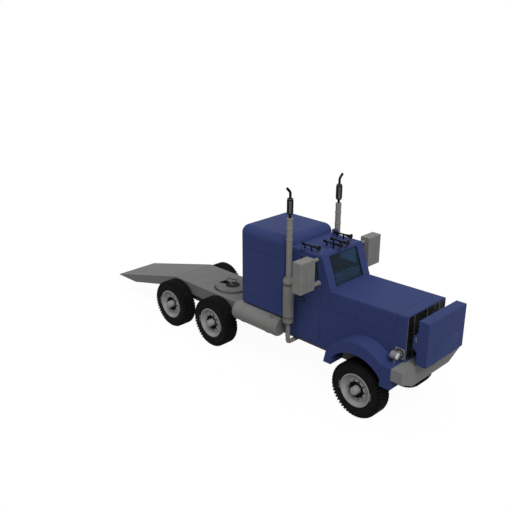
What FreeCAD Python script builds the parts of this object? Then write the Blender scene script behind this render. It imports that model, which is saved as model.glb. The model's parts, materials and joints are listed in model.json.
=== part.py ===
import FreeCAD, Part
import math
import os
import re
import Sketcher

# Six-wheeled tractor unit with a sleeper, a nose chest, a plated deck and a tail ramp.
# Frame: X forward, Y to the left, Z up, origin on the ground under the middle of the length.
# All sizes are in millimetres.

doc = FreeCAD.newDocument("tractor_unit")
sheet = doc.addObject("Spreadsheet::Sheet", "Sizes")

SIZES = {
    # Stations along the length, from the front axle unless said otherwise
    "nose_reach": (1218, "front axle to the face of the nose chest"),
    "axle_gap": (3963, "front axle to first driven axle"),
    "tandem_gap": (1408, "first to second driven axle"),
    "tail_reach": (2582, "second driven axle to the tip of the ramp"),
    # Wheels and tyres
    "tyre_radius": (550, "over the lugs"),
    "tyre_width": (330, "across the tread"),
    "wheel_track_half": (750, "centre line to the middle of a tyre"),
    "rim_radius": (328, "outside of the flange"),
    "rim_wall": (14, "steel of barrel and disc"),
    "flange_height": (13, "rim flange above the bead seat"),
    "bead_inset": (14, "tyre bead inside the tyre's width"),
    "bead_gap": (0.3, "space between bead and rim"),
    "flange_gap": (1.4, "space between a rim flange and the foot of the sidewall"),
    "lip_wide": (26, "width of the rim's outer lip"),
    "bowl_drop": (40, "lip in to the foot of the bowl"),
    "disc_inset": (80, "outer flange back to the foot of the bowl"),
    "disc_dish": (40, "how far the disc stands out round the recess"),
    "recess_radius": (160, "dark recess round the hub"),
    "recess_deep": (46, "depth of that recess"),
    "shoulder": (52, "height of the tyre shoulder"),
    "hub_radius": (82, "hub drum on the disc"),
    "hub_reach": (34, "hub face out from the flange"),
    "hub_back": (25, "hub behind the disc"),
    "cap_radius": (54, "small cap on the hub"),
    "cap_reach": (26, "cap out from the hub face"),
    "spindle_radius": (36, "spindle inside the hub"),
    "spindle_gap": (0.4, "running gap round a spindle"),
    "spindle_room": (6, "space at the end of a spindle"),
    "nut_circle": (120, "pitch radius of the wheel nuts"),
    "nut_radius": (16, "wheel nut"),
    "nut_count": (10, "nuts of a wheel"),
    "drum_radius": (200, "brake drum"),
    "drum_back": (150, "wheel's middle in to the inner end of a drum"),
    "drum_front": (32, "wheel's middle in to the outer end of a drum"),
    "chamber_radius": (78, "brake chamber"),
    "chamber_long": (150, "brake chamber front to back"),
    "chamber_half": (235, "centre line to a brake chamber"),
    # Frame
    "rail_half": (330, "centre line to the outer face of a rail"),
    "rail_flange": (80, "width of a rail flange"),
    "rail_low": (700, "underside of the rails"),
    "rail_high": (930, "top of the rails"),
    "rail_web": (12, "thickness of web and flanges"),
    "crossmember_size": (60, "length of a crossmember along the truck"),
    "rail_front": (700, "front end of the rails ahead of the front axle"),
    "deck_rear": (229, "rear edge of the deck behind the second driven axle"),
    # Front axle
    "kingpin_half": (600, "centre line to a kingpin"),
    "kingpin_radius": (24, "kingpin"),
    "kingpin_gap": (0.4, "running gap round a kingpin"),
    "beam_height": (110, "depth of the axle beam"),
    "beam_width": (90, "width of the axle beam"),
    "beam_drop": (40, "axle beam below the spindle line"),
    "steer_gap": (6, "space between axle eye and knuckle ears"),
    "eye_radius": (52, "kingpin eye of the beam"),
    "ear_height": (45, "thickness of a knuckle ear"),
    "knuckle_out": (110, "kingpin line to the outer face of the knuckle"),
    "spindle_end": (870, "centre line to the end of a spindle"),
    "front_spring_half": (285, "centre line to a front spring"),
    "front_spring_low": (585, "underside of the front springs at the axle"),
    "front_spring_reach": (520, "half the length of a front spring"),
    "leaf_stack": (50, "thickness of a leaf pack"),
    "leaf_width": (80, "width of a leaf pack"),
    # Driven axles
    "axle_tube": (70, "radius of the axle housing"),
    "diff_radius": (185, "differential case"),
    "shaft_radius": (45, "drive shaft"),
    "rear_spring_half": (440, "centre line to a rear spring"),
    # Bumper
    "bumper_back": (766, "rear face of the bumper ahead of the front axle"),
    "bumper_deep": (224, "bumper front to back"),
    "bumper_low": (1100, "lower edge of the bumper beam"),
    "bumper_high": (1324, "top of the bumper"),
    "bumper_half": (961, "half the length of the bumper"),
    "bumper_wall": (30, "thickness of the bumper's face and top"),
    "apron_low": (932, "lower edge of the bumper apron"),
    "apron_half": (605, "half the length of the apron's lower edge"),
    "diff_deep": (200, "differential case front to back"),
    # Deck, ramp and fifth wheel
    "body_gap": (5, "space between neighbouring body panels"),
    "seat_gap": (0.3, "space under a closed lid and round a hinge pin"),
    "deck_half": (562, "half the width of deck and ramp"),
    "deck_top": (1080, "upper face of the deck"),
    "deck_plate": (18, "deck plate"),
    "skirt_low": (815, "lower edge of the deck skirts"),
    "skirt_wall": (16, "deck skirt"),
    "notch_gap": (14, "space between the deck's notch and a tank"),
    "ramp_tip": (475, "ramp's upper face at its tip"),
    "ramp_knee": (610, "deck edge back to the first bend of the underside"),
    "ramp_knee_low": (705, "underside at the first bend"),
    "ramp_heel": (1630, "deck edge back to the second bend of the underside"),
    "ramp_heel_low": (464, "underside at the second bend"),
    "ramp_wall": (26, "plates and ribs of the ramp"),
    "fifth_back": (237, "fifth wheel behind the first driven axle"),
    "fifth_top": (1116, "upper face of the fifth wheel"),
    "fifth_plate": (38, "thickness of the fifth wheel plate"),
    "fifth_radius": (400, "fifth wheel plate"),
    "fifth_mouth": (150, "half the width of the throat at its mouth"),
    "fifth_pin": (20, "pitch pin"),
    "fifth_pin_high": (1010, "height of the pitch pin"),
    "kingpin_bore": (25.8, "jaw bore for the trailer's pin"),
    "jaw_length": (75, "jaw bore back to the narrow end of the throat"),
    "jaw_side": (12, "throat wider than the bore on each side"),
    "ring_radius": (165, "raised ring round the jaw"),
    "ring_high": (8, "ring above the plate"),
    "well_gap": (24, "space round the fifth wheel plate in the deck"),
    # Engine
    "engine_back": (840, "front axle back to the rear of the engine"),
    "engine_front": (430, "front axle forward to the front of the engine"),
    "engine_low": (765, "underside of the engine"),
    "engine_high": (1640, "top of the engine"),
    "engine_half": (240, "half the width of the engine"),
    # Sleeper
    "sleeper_front": (1885, "front axle back to the sleeper"),
    "sleeper_long": (1345, "length of the sleeper"),
    "sleeper_half": (727, "half the width of the sleeper"),
    "sleeper_low": (1300, "lower edge of the sleeper"),
    "sleeper_high": (2965, "top of the sleeper"),
    "sleeper_corner": (185, "radius of the upright corners"),
    "sleeper_brow": (175, "radius round the sleeper's roof"),
    "sleeper_wall": (45, "sleeper walls"),
    "plinth_half": (450, "half the width of the box under the sleeper"),
    # Cab
    "cab_front": (891, "front axle back to the fire wall"),
    "cab_half": (608, "half the width of the cab"),
    "cab_low": (930, "underside of the cab floor"),
    "cowl_high": (2168, "height of the fire wall"),
    "roof_high": (2798, "cab roof"),
    "screen_drop": (63, "roof down to the upper edge of the windscreen"),
    "screen_rise": (32, "cowl up to the lower edge of the windscreen"),
    "door_drop": (60, "roof down to the upper edge of a door opening"),
    "screen_run": (236, "how far the windscreen leans back"),
    "panel_wall": (50, "cab walls and doors"),
    "roof_edge": (40, "rounding along the roof"),
    "screen_half": (410, "half the width of the windscreen"),
    "glass": (8, "thickness of the panes"),
    "glass_back": (14, "panes behind the outer face"),
    "glass_gap": (0.3, "space round a pane"),
    "door_station": (1115, "front axle back to the front edge of a door"),
    "door_long": (585, "length of a door opening"),
    "door_low": (990, "lower edge of a door opening"),
    "door_lean": (70, "how far the front edge leans back at the top"),
    "window_drop": (96, "door edge down to the upper edge of its window"),
    "window_tall": (342, "height of the door window"),
    "lean_drop": (90, "window sill down to where the door's front edge bends"),
    "window_frame": (58, "frame beside the door window"),
    "passage_half": (300, "half the width of the way into the sleeper"),
    "passage_low": (1350, "lower edge of the way into the sleeper"),
    "passage_high": (2250, "upper edge of the way into the sleeper"),
    # Hood and nose
    "hood_half": (605, "half the width of hood and grille"),
    "hood_rear_high": (2161, "top of the hood at the cab"),
    "hood_rise": (30, "hood higher at the grille than at the cab"),
    "hood_barrel": (9, "barrels of the hood hinge"),
    "hood_pin": (5, "pin of the hood hinge"),
    "barrel_gap": (1, "space between a lid and the fixed barrels"),
    "leaf_gap": (2, "space between a lid and the fixed hinge leaves"),
    "hood_wall": (25, "hood panels"),
    "hood_edge": (32, "rounding of the hood's top edges"),
    "hood_seam": (1770, "lower edge of the lid"),
    "shell_back": (586, "front axle to the fixed grille shell"),
    "shell_front": (803, "front axle to the face of the grille"),
    "arch_radius": (700, "wheel opening"),
    "arch_high": (600, "height of the opening's centre"),
    "arch_foot": (545, "front axle to the upright edge of the opening"),
    "grille_low": (1358, "lower edge of the grille"),
    "grille_drop": (31, "hood's front down to the upper edge of the grille"),
    "grille_deep": (36, "depth of the grille"),
    "slat_count": (22, "slats of the grille"),
    "slat_high": (14, "height of a slat"),
    "bar_wide": (26, "width of a grille bar"),
    "bar_station": (395, "centre line to the side bars"),
    "bar_cross": (1755, "height of the cross bar"),
    "chest_deep": (202, "nose chest front to back"),
    "chest_half": (603, "half the width of the nose chest"),
    "chest_low": (1365, "underside of the nose chest"),
    "chest_seam": (1978, "top of the chest body"),
    "chest_lid_high": (215, "height of the chest lid"),
    "chest_hinge": (9, "barrels of the chest hinge"),
    "chest_pin": (5, "pin of the chest hinge"),
    "barrel_half": (400, "centre line to the middle of a hinge barrel"),
    "barrel_long": (150, "length of a lid's hinge barrel"),
    "barrel_end": (30, "length of the fixed barrel at each end"),
    "boss_half_high": (185, "half the height of the housing behind each end of the chest"),
    "boss_flat": (110, "half the height of its rear face"),
    "boss_deep": (84, "how far it stands out behind the chest"),
    "boss_wide": (100, "its width across the truck"),
    "boss_inset": (4, "its side inside the chest's side"),
    "boss_drop": (203, "lid's seam down to its middle"),
    "panel_half": (415, "half the width of the panel sunk in the chest's face"),
    "panel_drop": (222, "lid's seam down to the upper edge of that panel"),
    "panel_tall": (260, "height of that panel"),
    "panel_sink": (6, "depth of that panel"),
    "axle_pad": (80, "half the length of a front spring's flat middle"),
    "leaf_eye": (60, "length of a front spring's end"),
    "pack_end": (90, "half the length of the tandem spring over an axle"),
    "pack_mid": (130, "half the length of its middle part"),
    "pack_rise": (95, "its middle above its ends"),
    "pack_thin": (35, "thickness of its ends"),
    "saddle_half": (110, "half the length of the tandem spring's saddle"),
    "web_room": (20, "space between a rail's flange and a crossmember"),
    "horn_margin": (30, "frame horn plate's lap on the rail and clear of the bumper's top"),
    "beam_short": (50, "front beam's end inside the kingpin"),
    "pad_long": (75, "half the length of a spring pad"),
    "pad_wide": (45, "half the width of a spring pad"),
    "tube_inset": (25, "axle tube's end inside the tyre's inner side"),
    "run_lap": (20, "drive shaft into the axle's nose"),
    "run_rise": (30, "drive shaft above the engine's underside"),
    "tip_thick": (12, "thickness of the ramp's tip"),
    "cell_start": (40, "deck edge back to the first space under the ramp"),
    "cell_stop": (150, "second bend back to the last space's end"),
    "cell_past": (60, "spaces cut this far below the ramp"),
    "ear_foot": (130, "half the length of a coupler bracket's foot"),
    "ear_top": (45, "half the length of its top"),
    "ear_over": (32, "its top above the pin"),
    "hub_foot": (60, "half the length of a coupler plate's hub at the plate"),
    "hub_tip": (32, "half its length at the pin, and its reach below the pin"),
    "handle_back": (60, "door's rear edge to its handle"),
    "handle_long": (120, "length of a door handle"),
    "handle_half": (16, "half the height of a door handle"),
    "handle_out": (22, "door handle out from the door"),
    "arm_lap": (20, "mirror arm into the mirror"),
    "foot_back": (30, "grille to the chest's foot"),
    "foot_front": (28, "chest's face back to its foot"),
    "plinth_back": (60, "sleeper's rear to its plinth"),
    "plinth_front": (40, "sleeper's face back to its plinth"),
    "tank_lap": (40, "saddle below the tank and short of its middle"),
    "lug_in": (200, "engine's end to an engine mount"),
    "lug_low": (60, "engine's underside to a mount"),
    "lug_side": (50, "height and half length of a mount"),
    "radiator_back": (30, "shell's rear to the radiator"),
    "radiator_deep": (80, "thickness of the radiator"),
    "dash_shelf": (120, "flat top of the dashboard"),
    "dash_slope": (60, "dashboard's top down to its rear edge"),
    "dash_edge": (90, "height of its rear edge, and its depth at the foot"),
    "seat_behind": (20, "cab's rear panel to a seat"),
    "seat_thick": (110, "thickness of a seat cushion"),
    "seat_back_thick": (140, "seat back at the cushion"),
    "seat_back_thin": (80, "seat back at its top"),
    "seat_lean": (15, "lean of the seat back"),
    "wheel_reach": (150, "dashboard back to the middle of the steering wheel"),
    "wheel_rise": (40, "dashboard's top up to the middle of the steering wheel"),
    "drum_slim": (20, "front drum smaller than a rear one"),
    "drum_lap": (40, "front drum back over the knuckle"),
    "drum_more": (22, "front drum further into the rim"),
    "chest_wall": (22, "walls of the chest"),
    # Fenders and lamps
    "fender_half": (961, "half the width over the fenders"),
    "fender_wall": (24, "fender panels"),
    "fender_drop": (9, "bumper's top down to the fender's flat part"),
    "fender_bow": (795, "radius of the fender's top"),
    "fender_low": (904, "lower edge ahead of the wheel"),
    "fender_tail": (720, "front axle back to the rear edge of a fender"),
    "fender_tail_low": (895, "lower edge behind the wheel"),
    "fender_bend": (660, "front axle back to the bend in the rear edge"),
    "fender_bend_high": (1172, "height of that bend"),
    "lamp_station": (720, "front axle to the lens of a headlamp"),
    "lamp_half": (722, "centre line to a headlamp"),
    "lamp_rise": (150, "fender's flat part up to the middle of a headlamp"),
    "lamp_plate": (200, "side of the square plate behind a headlamp"),
    "lamp_plate_rise": (50, "plate above the fender's flat part"),
    "lamp_plate_deep": (10, "thickness of that plate"),
    "lamp_arm": (26, "arm from the plate to the pod"),
    "lamp_foot": (20, "foot under the pod"),
    "lens_deep": (16, "lens inside the pod"),
    "lens_out": (6, "lens out of the pod"),
    "lamp_radius": (72, "headlamp pod"),
    "lamp_long": (112, "length of a headlamp pod"),
    "lens_radius": (62, "headlamp lens"),
    # Door fittings
    "hinge_radius": (14, "knuckles of a door hinge"),
    "hinge_pin": (8, "pin of a door hinge"),
    "hinge_tall": (84, "height of a door hinge"),
    "hinge_leaf": (42, "hinge leaf along the panel"),
    "hinge_low": (1180, "height of the lower hinge"),
    "hinge_top": (2060, "height of the upper hinge"),
    "handle_high": (1790, "height of the door handles"),
    "mirror_back": (1308, "front axle back to the glass of a mirror"),
    "mirror_deep": (212, "mirror case front to back"),
    "mirror_low": (2180, "lower edge of a mirror"),
    "mirror_tall": (615, "height of a mirror"),
    "mirror_gap": (211, "door out to the near side of a mirror"),
    "mirror_wide": (395, "width of a mirror"),
    "mirror_rim": (18, "frame round the mirror's glass"),
    "mirror_sink": (12, "depth of the mirror's glass"),
    "mirror_edge": (12, "rounding of the mirror case"),
    "arm_radius": (42, "lower mirror arm"),
    "arm_low_back": (62, "door edge back to the lower arm"),
    "arm_low_rise": (55, "mirror's lower edge up to the lower arm"),
    "arm_top_back": (118, "door edge back to the upper arm"),
    "arm_top_drop": (105, "mirror's upper edge down to the upper arm"),
    "arm_top_share": (0.66, "upper arm over lower arm"),
    # Bunk, tanks and stacks
    "bunk_wide": (620, "bunk front to back"),
    "bunk_half": (540, "half the length of the bunk"),
    "bunk_high": (1560, "top of the bunk"),
    "tank_front": (2031, "front axle back to the front of a tank"),
    "tank_long": (1269, "length of a tank"),
    "tank_half": (704, "centre line to the middle of a tank"),
    "tank_high": (1053, "height of a tank's middle"),
    "tank_radius": (208, "tank"),
    "tank_edge": (38, "slant round the tank ends"),
    "strap_wide": (60, "width of a tank strap"),
    "strap_thick": (7, "thickness of a tank strap"),
    "cap_back": (170, "tank front back to the filler cap"),
    "cap_out": (70, "tank's middle out to the filler cap"),
    "filler_radius": (38, "filler cap"),
    "filler_high": (12, "filler cap above the tank"),
    "stack_back": (1828, "front axle back to the stacks"),
    "stack_half": (726, "centre line to a stack"),
    "stack_low": (1244, "bottom of the fat pipe"),
    "stack_long": (924, "length of the fat pipe"),
    "stack_radius": (111, "fat pipe"),
    "pipe_radius": (58, "slim pipe and tip"),
    "pipe_long": (1227, "length of the slim pipe"),
    "neck_radius": (26, "necks and bent end"),
    "neck_long": (75, "neck between the slim pipe and the tip"),
    "tip_long": (307, "length of the dark tip"),
    "bend_start": (128, "tip up to where the end bends outward"),
    "bend_rise": (80, "rise of the bent end"),
    "bend_out": (90, "reach of the bent end"),
    "shoulder_high": (28, "shoulder on the fat pipe"),
    "shoulder_share": (0.78, "shoulder radius over fat pipe radius"),
    "ring_low_drop": (435, "slim pipe's top down to its lower ring"),
    "ring_top_drop": (205, "slim pipe's top down to its upper ring"),
    "pipe_ring": (7, "rings out from the slim pipe"),
    "pipe_ring_long": (24, "height of a ring"),
    "clamp_half": (35, "half the length of a stack clamp"),
    "clamp_high": (60, "height of a stack clamp"),
    "clamp_drop": (130, "fat pipe's top down to the upper clamp"),
    "clamp_rise": (90, "fat pipe's foot up to the lower clamp"),
    "elbow_high": (800, "height of the pipe under the cab"),
    "elbow_radius": (45, "pipe under the cab"),
    # Horns
    "horn_long": (390, "length of a horn"),
    "horn_rise": (100, "horn above the roof"),
    "horn_throat": (19, "horn before its bell"),
    "horn_mouth": (50, "horn bell"),
    "horn_post": (26, "length of a horn post"),
    "horn_pair_back": (1430, "front axle back to the middle pair of horns"),
    "horn_end_back": (1630, "front axle back to the outer horns"),
    # Inside
    "core_half": (520, "half the width of the radiator"),
    "core_high": (2090, "top of the radiator"),
    "dash_low": (1720, "underside of the dashboard"),
    "dash_high": (2120, "top of the dashboard"),
    "dash_deep": (330, "dashboard front to back"),
    "dash_half": (545, "half the width of the dashboard"),
    "seat_half": (300, "centre line to a seat"),
    "seat_wide": (440, "width of a seat"),
    "seat_long": (400, "seat front to back"),
    "seat_high": (1560, "top of the cushion"),
    "seat_top": (2230, "top of the back rest"),
    "steer_radius": (215, "steering wheel"),
    "steer_grip": (15, "thickness of its rim, half"),
    "steer_column": (230, "steering column"),
}

# Stations worked out from the driving sizes
DERIVED = {
    "front_x": "(nose_reach + axle_gap + tandem_gap + tail_reach) / 2 - nose_reach",
    "mid_x": "front_x - axle_gap",
    "rear_x": "mid_x - tandem_gap",
    "tail_x": "rear_x - tail_reach",
    "deck_end": "rear_x - deck_rear",
    "tyre_in": "wheel_track_half - tyre_width / 2",
    "fifth_x": "mid_x - fifth_back",
    "engine_rear": "front_x - engine_back",
    "sleeper_back": "front_x - sleeper_front - sleeper_long",
    "tank_rear": "front_x - tank_front - tank_long",
    "chest_high": "chest_seam + chest_lid_high",
    "chest_axis_x": "chest_rear - chest_hinge - barrel_gap",
    "screen_low": "cowl_high + screen_rise",
    "screen_high": "roof_high - screen_drop",
    "door_high": "roof_high - door_drop",
    "window_high": "door_high - window_drop",
    "belt_high": "window_high - window_tall",
    "hood_front_high": "hood_rear_high + hood_rise",
    "grille_high": "hood_front_high - grille_drop",
    "hood_slope": "hood_rise / (shell_front + cab_front)",
    "lid_top": "hood_rear_high + hood_slope * (shell_back + cab_front)",
    "hood_axis_x": "fire_wall + body_gap + hood_barrel + leaf_gap",
    "hood_axis_z": "hood_rear_high + hood_barrel + barrel_gap",
    "lid_foot": "hood_seam + seat_gap",
    "fender_shelf": "bumper_high - fender_drop",
    "lamp_high": "fender_shelf + lamp_rise",
    "mirror_in": "cab_half + mirror_gap",
    "mirror_out": "mirror_in + mirror_wide",
    "mirror_high": "mirror_low + mirror_tall",
    "stack_step": "stack_low + stack_long",
    "stack_neck": "stack_step + pipe_long",
    "tip_low": "stack_neck + neck_long",
    "tip_high": "tip_low + tip_long",
    "stack_bend": "tip_high + bend_start",
    "rim_bowl": "disc_inset - tyre_width / 2",
    "rim_face": "rim_bowl - disc_dish + recess_deep",
    "hub_face": "-(tyre_width / 2 + hub_reach)",
    "sleeper_face": "front_x - sleeper_front",
    "bumper_rear": "front_x + bumper_back",
    "bumper_face": "front_x + bumper_back + bumper_deep",
    "fire_wall": "front_x - cab_front",
    "cab_back": "sleeper_face + body_gap",
    "shell_rear": "front_x + shell_back",
    "grille_face": "front_x + shell_front",
    "screen_shift": "panel_wall * sqrt(1 + (screen_run / (roof_high - cowl_high)) ^ 2)",
    "door_front": "front_x - door_station",
    "door_rear": "front_x - door_station - door_long",
    "hinge_x": "door_front - body_gap / 2",
    "hinge_y": "cab_half + hinge_radius",
    "chest_rear": "front_x + nose_reach - chest_deep",
    "chest_face": "front_x + nose_reach",
}


def fill_sheet():
    for row, (name, (number, note)) in enumerate(SIZES.items(), start=1):
        sheet.set(f"A{row}", name)
        sheet.set(f"B{row}", str(number))
        sheet.setAlias(f"B{row}", name)
        sheet.set(f"C{row}", note)
    doc.recompute()


def bind(text):
    """Turn plain size names into references to the sheet."""
    def swap(match):
        word = match.group(0)
        if word in DERIVED:
            return "(" + bind(DERIVED[word]) + ")"
        if word in SIZES:
            return "Sizes." + word
        return word
    return re.sub(r"[a-z_][a-z0-9_]*", swap, str(text))


def size(text):
    """The number that an expression of sizes gives now."""
    found = sheet.evalExpression(bind(text))
    return float(getattr(found, "Value", found))


def tie(thing, where, text):
    thing.setExpression(where, bind(text))


def place(thing, x="0", y="0", z="0"):
    for letter, text in zip("xyz", (x, y, z)):
        tie(thing, "Placement.Base." + letter, text)


def new_body(name):
    body = doc.addObject("PartDesign::Body", name)
    body.Label = name
    body.AllowCompound = True
    return body


PLANES = {"x": "YZ_Plane", "y": "XZ_Plane", "z": "XY_Plane"}


def new_sketch(body, axis, level="0"):
    """A sketch across the axis; on the y plane its own normal points to -Y."""
    sketch = body.newObject("Sketcher::SketchObject", "sketch")
    plane = next(item for item in body.Origin.OriginFeatures if item.Role == PLANES[axis])
    sketch.AttachmentSupport = [(plane, "")]
    sketch.MapMode = "FlatFace"
    tie(sketch, "AttachmentOffset.Base.z", f"-({level})" if axis == "y" else level)
    return sketch


def pin_point(sketch, item, end, across, up):
    for kind, text in (("DistanceX", across), ("DistanceY", up)):
        number = sketch.addConstraint(Sketcher.Constraint(kind, -1, 1, item, end, size(text)))
        tie(sketch, f"Constraints[{number}]", text)


def draw_outline(sketch, corners):
    """Closed outline. A corner is (across, up), or (across, up, radius, turn) where the
    side that starts there is an arc: turn is 1 for counterclockwise, -1 for clockwise."""
    spots = [FreeCAD.Vector(size(corner[0]), size(corner[1]), 0) for corner in corners]
    ends = []
    for index, corner in enumerate(corners):
        start = spots[index]
        stop = spots[(index + 1) % len(spots)]
        if len(corner) == 2:
            item = sketch.addGeometry(Part.LineSegment(start, stop), False)
            ends.append((item, 1, 2))
            continue
        radius = size(corner[2])
        turn = corner[3]
        half = (stop - start) * 0.5
        rise = math.sqrt(radius ** 2 - half.Length ** 2)
        side = FreeCAD.Vector(-half.y, half.x, 0).normalize()
        centre = start + half + side * (rise * turn)
        first, last = (start, stop) if turn > 0 else (stop, start)
        angles = [math.atan2(p.y - centre.y, p.x - centre.x) for p in (first, last)]
        circle = Part.Circle(centre, FreeCAD.Vector(0, 0, 1), radius)
        item = sketch.addGeometry(Part.ArcOfCircle(circle, angles[0], angles[1]), False)
        number = sketch.addConstraint(Sketcher.Constraint("Radius", item, radius))
        tie(sketch, f"Constraints[{number}]", corner[2])
        ends.append((item, 1, 2) if turn > 0 else (item, 2, 1))
    for index, corner in enumerate(corners):
        item, begin, _ = ends[index]
        before, _, finish = ends[index - 1]
        sketch.addConstraint(Sketcher.Constraint("Coincident", before, finish, item, begin))
        pin_point(sketch, item, begin, corner[0], corner[1])


def draw_circle(sketch, across, up, radius):
    centre = FreeCAD.Vector(size(across), size(up), 0)
    circle = Part.Circle(centre, FreeCAD.Vector(0, 0, 1), size(radius))
    item = sketch.addGeometry(circle, False)
    number = sketch.addConstraint(Sketcher.Constraint("Radius", item, size(radius)))
    tie(sketch, f"Constraints[{number}]", radius)
    pin_point(sketch, item, 3, across, up)


def solid_volume(body):
    doc.recompute()
    return body.Shape.Volume if not body.Shape.isNull() else 0.0


def extrude(body, axis, shape, low, high, cut=False):
    """Pad or pocket of outlines and circles between two levels of an axis."""
    before = solid_volume(body)
    start = high if cut else low
    if axis == "y":
        start = low if cut else high
    sketch = new_sketch(body, axis, start)
    for part in shape:
        if len(part) == 3 and isinstance(part[0], str):
            draw_circle(sketch, *part)
        else:
            draw_outline(sketch, part)
    kind = "Pocket" if cut else "Pad"
    feature = body.newObject("PartDesign::" + kind, kind.lower())
    feature.Profile = sketch
    tie(feature, "Length", f"({high}) - ({low})")
    after = solid_volume(body)
    if cut == (after >= before):
        raise ValueError(f"{body.Label}: a {kind} left the volume at {after:.0f}")
    return feature


def revolve(body, axis, outline, about, cut=False):
    """Full turn of an outline round the sketch's horizontal (H) or vertical (V) axis."""
    sketch = new_sketch(body, axis)
    draw_outline(sketch, outline)
    kind = "Groove" if cut else "Revolution"
    feature = body.newObject("PartDesign::" + kind, kind.lower())
    feature.Profile = sketch
    feature.ReferenceAxis = (sketch, [about + "_Axis"])
    feature.Angle = 360
    doc.recompute()
    return feature


def polar(body, feature, count, role="Y_Axis"):
    axis = next(item for item in body.Origin.OriginFeatures if item.Role == role)
    pattern = body.newObject("PartDesign::PolarPattern", "pattern")
    pattern.Originals = [feature]
    pattern.Axis = (axis, [""])
    pattern.Angle = 360
    tie(pattern, "Occurrences", count)
    body.Tip = pattern
    doc.recompute()
    return pattern


def box_outline(left, low, right, high):
    return [(left, low), (right, low), (right, high), (left, high)]


def soften(body, amount, test, kind="Fillet"):
    """Fillet or chamfer of the tip's edges that the test accepts."""
    doc.recompute()
    base = body.Tip
    names = [f"Edge{n}" for n, edge in enumerate(base.Shape.Edges, start=1) if test(edge)]
    if not names:
        raise ValueError(f"{body.Label}: no edge to round")
    feature = body.newObject("PartDesign::" + kind, kind.lower())
    feature.Base = (base, names)
    tie(feature, "Radius" if kind == "Fillet" else "Size", amount)
    doc.recompute()
    return feature


def along(edge, axis):
    """Whether a straight edge runs along an axis."""
    first, last = edge.Vertexes[0].Point, edge.Vertexes[-1].Point
    reach = last - first
    return reach.Length > 1 and abs(abs(getattr(reach.normalize(), axis)) - 1) < 1e-6


def pipe(body, axis, level, route, radius):
    """Round pipe along straight runs in a plane across the axis. It starts upright in a
    plane across X and level in a plane across Y."""
    spine = new_sketch(body, axis, level)
    for index in range(len(route) - 1):
        ends = [FreeCAD.Vector(size(spot[0]), size(spot[1]), 0) for spot in route[index:index + 2]]
        item = spine.addGeometry(Part.LineSegment(*ends), False)
        if index:
            spine.addConstraint(Sketcher.Constraint("Coincident", item - 1, 2, item, 1))
        pin_point(spine, item, 1, *route[index])
    pin_point(spine, item, 2, *route[-1])
    across, up = route[0]
    ring = new_sketch(body, "z", up) if axis == "x" else new_sketch(body, "x", across)
    draw_circle(ring, level, across if axis == "x" else up, radius)
    sweep = body.newObject("PartDesign::AdditivePipe", "pipe")
    sweep.Profile = ring
    sweep.Spine = (spine, [f"Edge{n}" for n in range(1, len(route))])
    sweep.Transition = "Round corner"
    doc.recompute()
    return sweep


def mirrored(source, name):
    copy = doc.addObject("Part::Mirroring", name)
    copy.Label = name
    copy.Source = source
    copy.Base = FreeCAD.Vector(0, 0, 0)
    copy.Normal = FreeCAD.Vector(0, 1, 0)
    return copy


def pair(source, name):
    """The piece and its mirror image as one node of two solids."""
    both = doc.addObject("Part::Compound", name)
    both.Label = name
    both.Links = [source, mirrored(source, name + "_other")]
    return both


def placed_copy(source, name, x, y, z, turned=False):
    """A further piece of the same making, turned half round for the left side."""
    copy = doc.addObject("Part::Compound", name)
    copy.Label = name
    copy.Links = [source]
    if turned:
        copy.Placement.Rotation = FreeCAD.Rotation(FreeCAD.Vector(0, 0, 1), 180)
    place(copy, x, y, z)
    return copy


NODES = []


def keep(*things):
    NODES.extend(things)


fill_sheet()


def build_tyre():
    """Carcass turned round the y axis; the tread pattern is left out."""
    body = new_body("tyre")
    half = "tyre_width / 2"
    bead = "rim_radius - flange_height + bead_gap"
    outline = [
        (f"-({half}) + bead_inset", bead),
        (f"{half} - bead_inset", bead),
        (half, "tyre_radius - shoulder"),
        (f"{half} - shoulder / 2", "tyre_radius"),
        (f"-({half}) + shoulder / 2", "tyre_radius"),
        (f"-({half})", "tyre_radius - shoulder"),
    ]
    revolve(body, "x", outline, "H")
    return body


def build_rim():
    """Steel rim on the y axis with its outer side towards -Y: lip, bowl, a recess with
    the wheel nuts round the hub, and the hub's cap."""
    body = new_body("rim")
    lip = "tyre_width / 2"
    inside = "rim_radius - lip_wide"
    bore_end = "wheel_track_half - spindle_end - spindle_room"
    back = "rim_face + rim_wall"
    seat = "rim_radius - flange_height"
    outline = [
        (f"-({lip})", "rim_radius"),
        (f"-({lip})", inside),
        ("rim_bowl", f"{inside} - bowl_drop"),
        ("rim_bowl - disc_dish", "recess_radius"),
        ("rim_face", "recess_radius"),
        ("rim_face", "hub_radius"),
        ("hub_face", "hub_radius"),
        ("hub_face", "cap_radius"),
        ("hub_face - cap_reach", "cap_radius"),
        ("hub_face - cap_reach", "0"),
        (bore_end, "0"),
        (bore_end, "spindle_radius + spindle_gap"),
        (f"{back} + hub_back", "spindle_radius + spindle_gap"),
        (f"{back} + hub_back", "hub_radius"),
        (back, "hub_radius"),
        (back, f"{inside} - bowl_drop"),
        (lip, inside),
        (lip, "rim_radius"),
        (f"{lip} - bead_inset + flange_gap", "rim_radius"),
        (f"{lip} - bead_inset + flange_gap", seat),
        (f"-({lip}) + bead_inset - flange_gap", seat),
        (f"-({lip}) + bead_inset - flange_gap", "rim_radius"),
    ]
    revolve(body, "x", outline, "H")
    sketch = new_sketch(body, "y", "rim_face + 1")
    corners = []
    for step in range(6):
        turn = math.radians(60 * step)
        corners.append((f"nut_radius * {math.sin(turn):.6f}",
                        f"nut_circle + nut_radius * {math.cos(turn):.6f}"))
    draw_outline(sketch, corners)
    nut = body.newObject("PartDesign::Pad", "nut")
    nut.Profile = sketch
    tie(nut, "Length", "recess_deep")
    doc.recompute()
    polar(body, nut, "nut_count")
    return body


tyre = build_tyre()
rim = build_rim()


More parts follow.
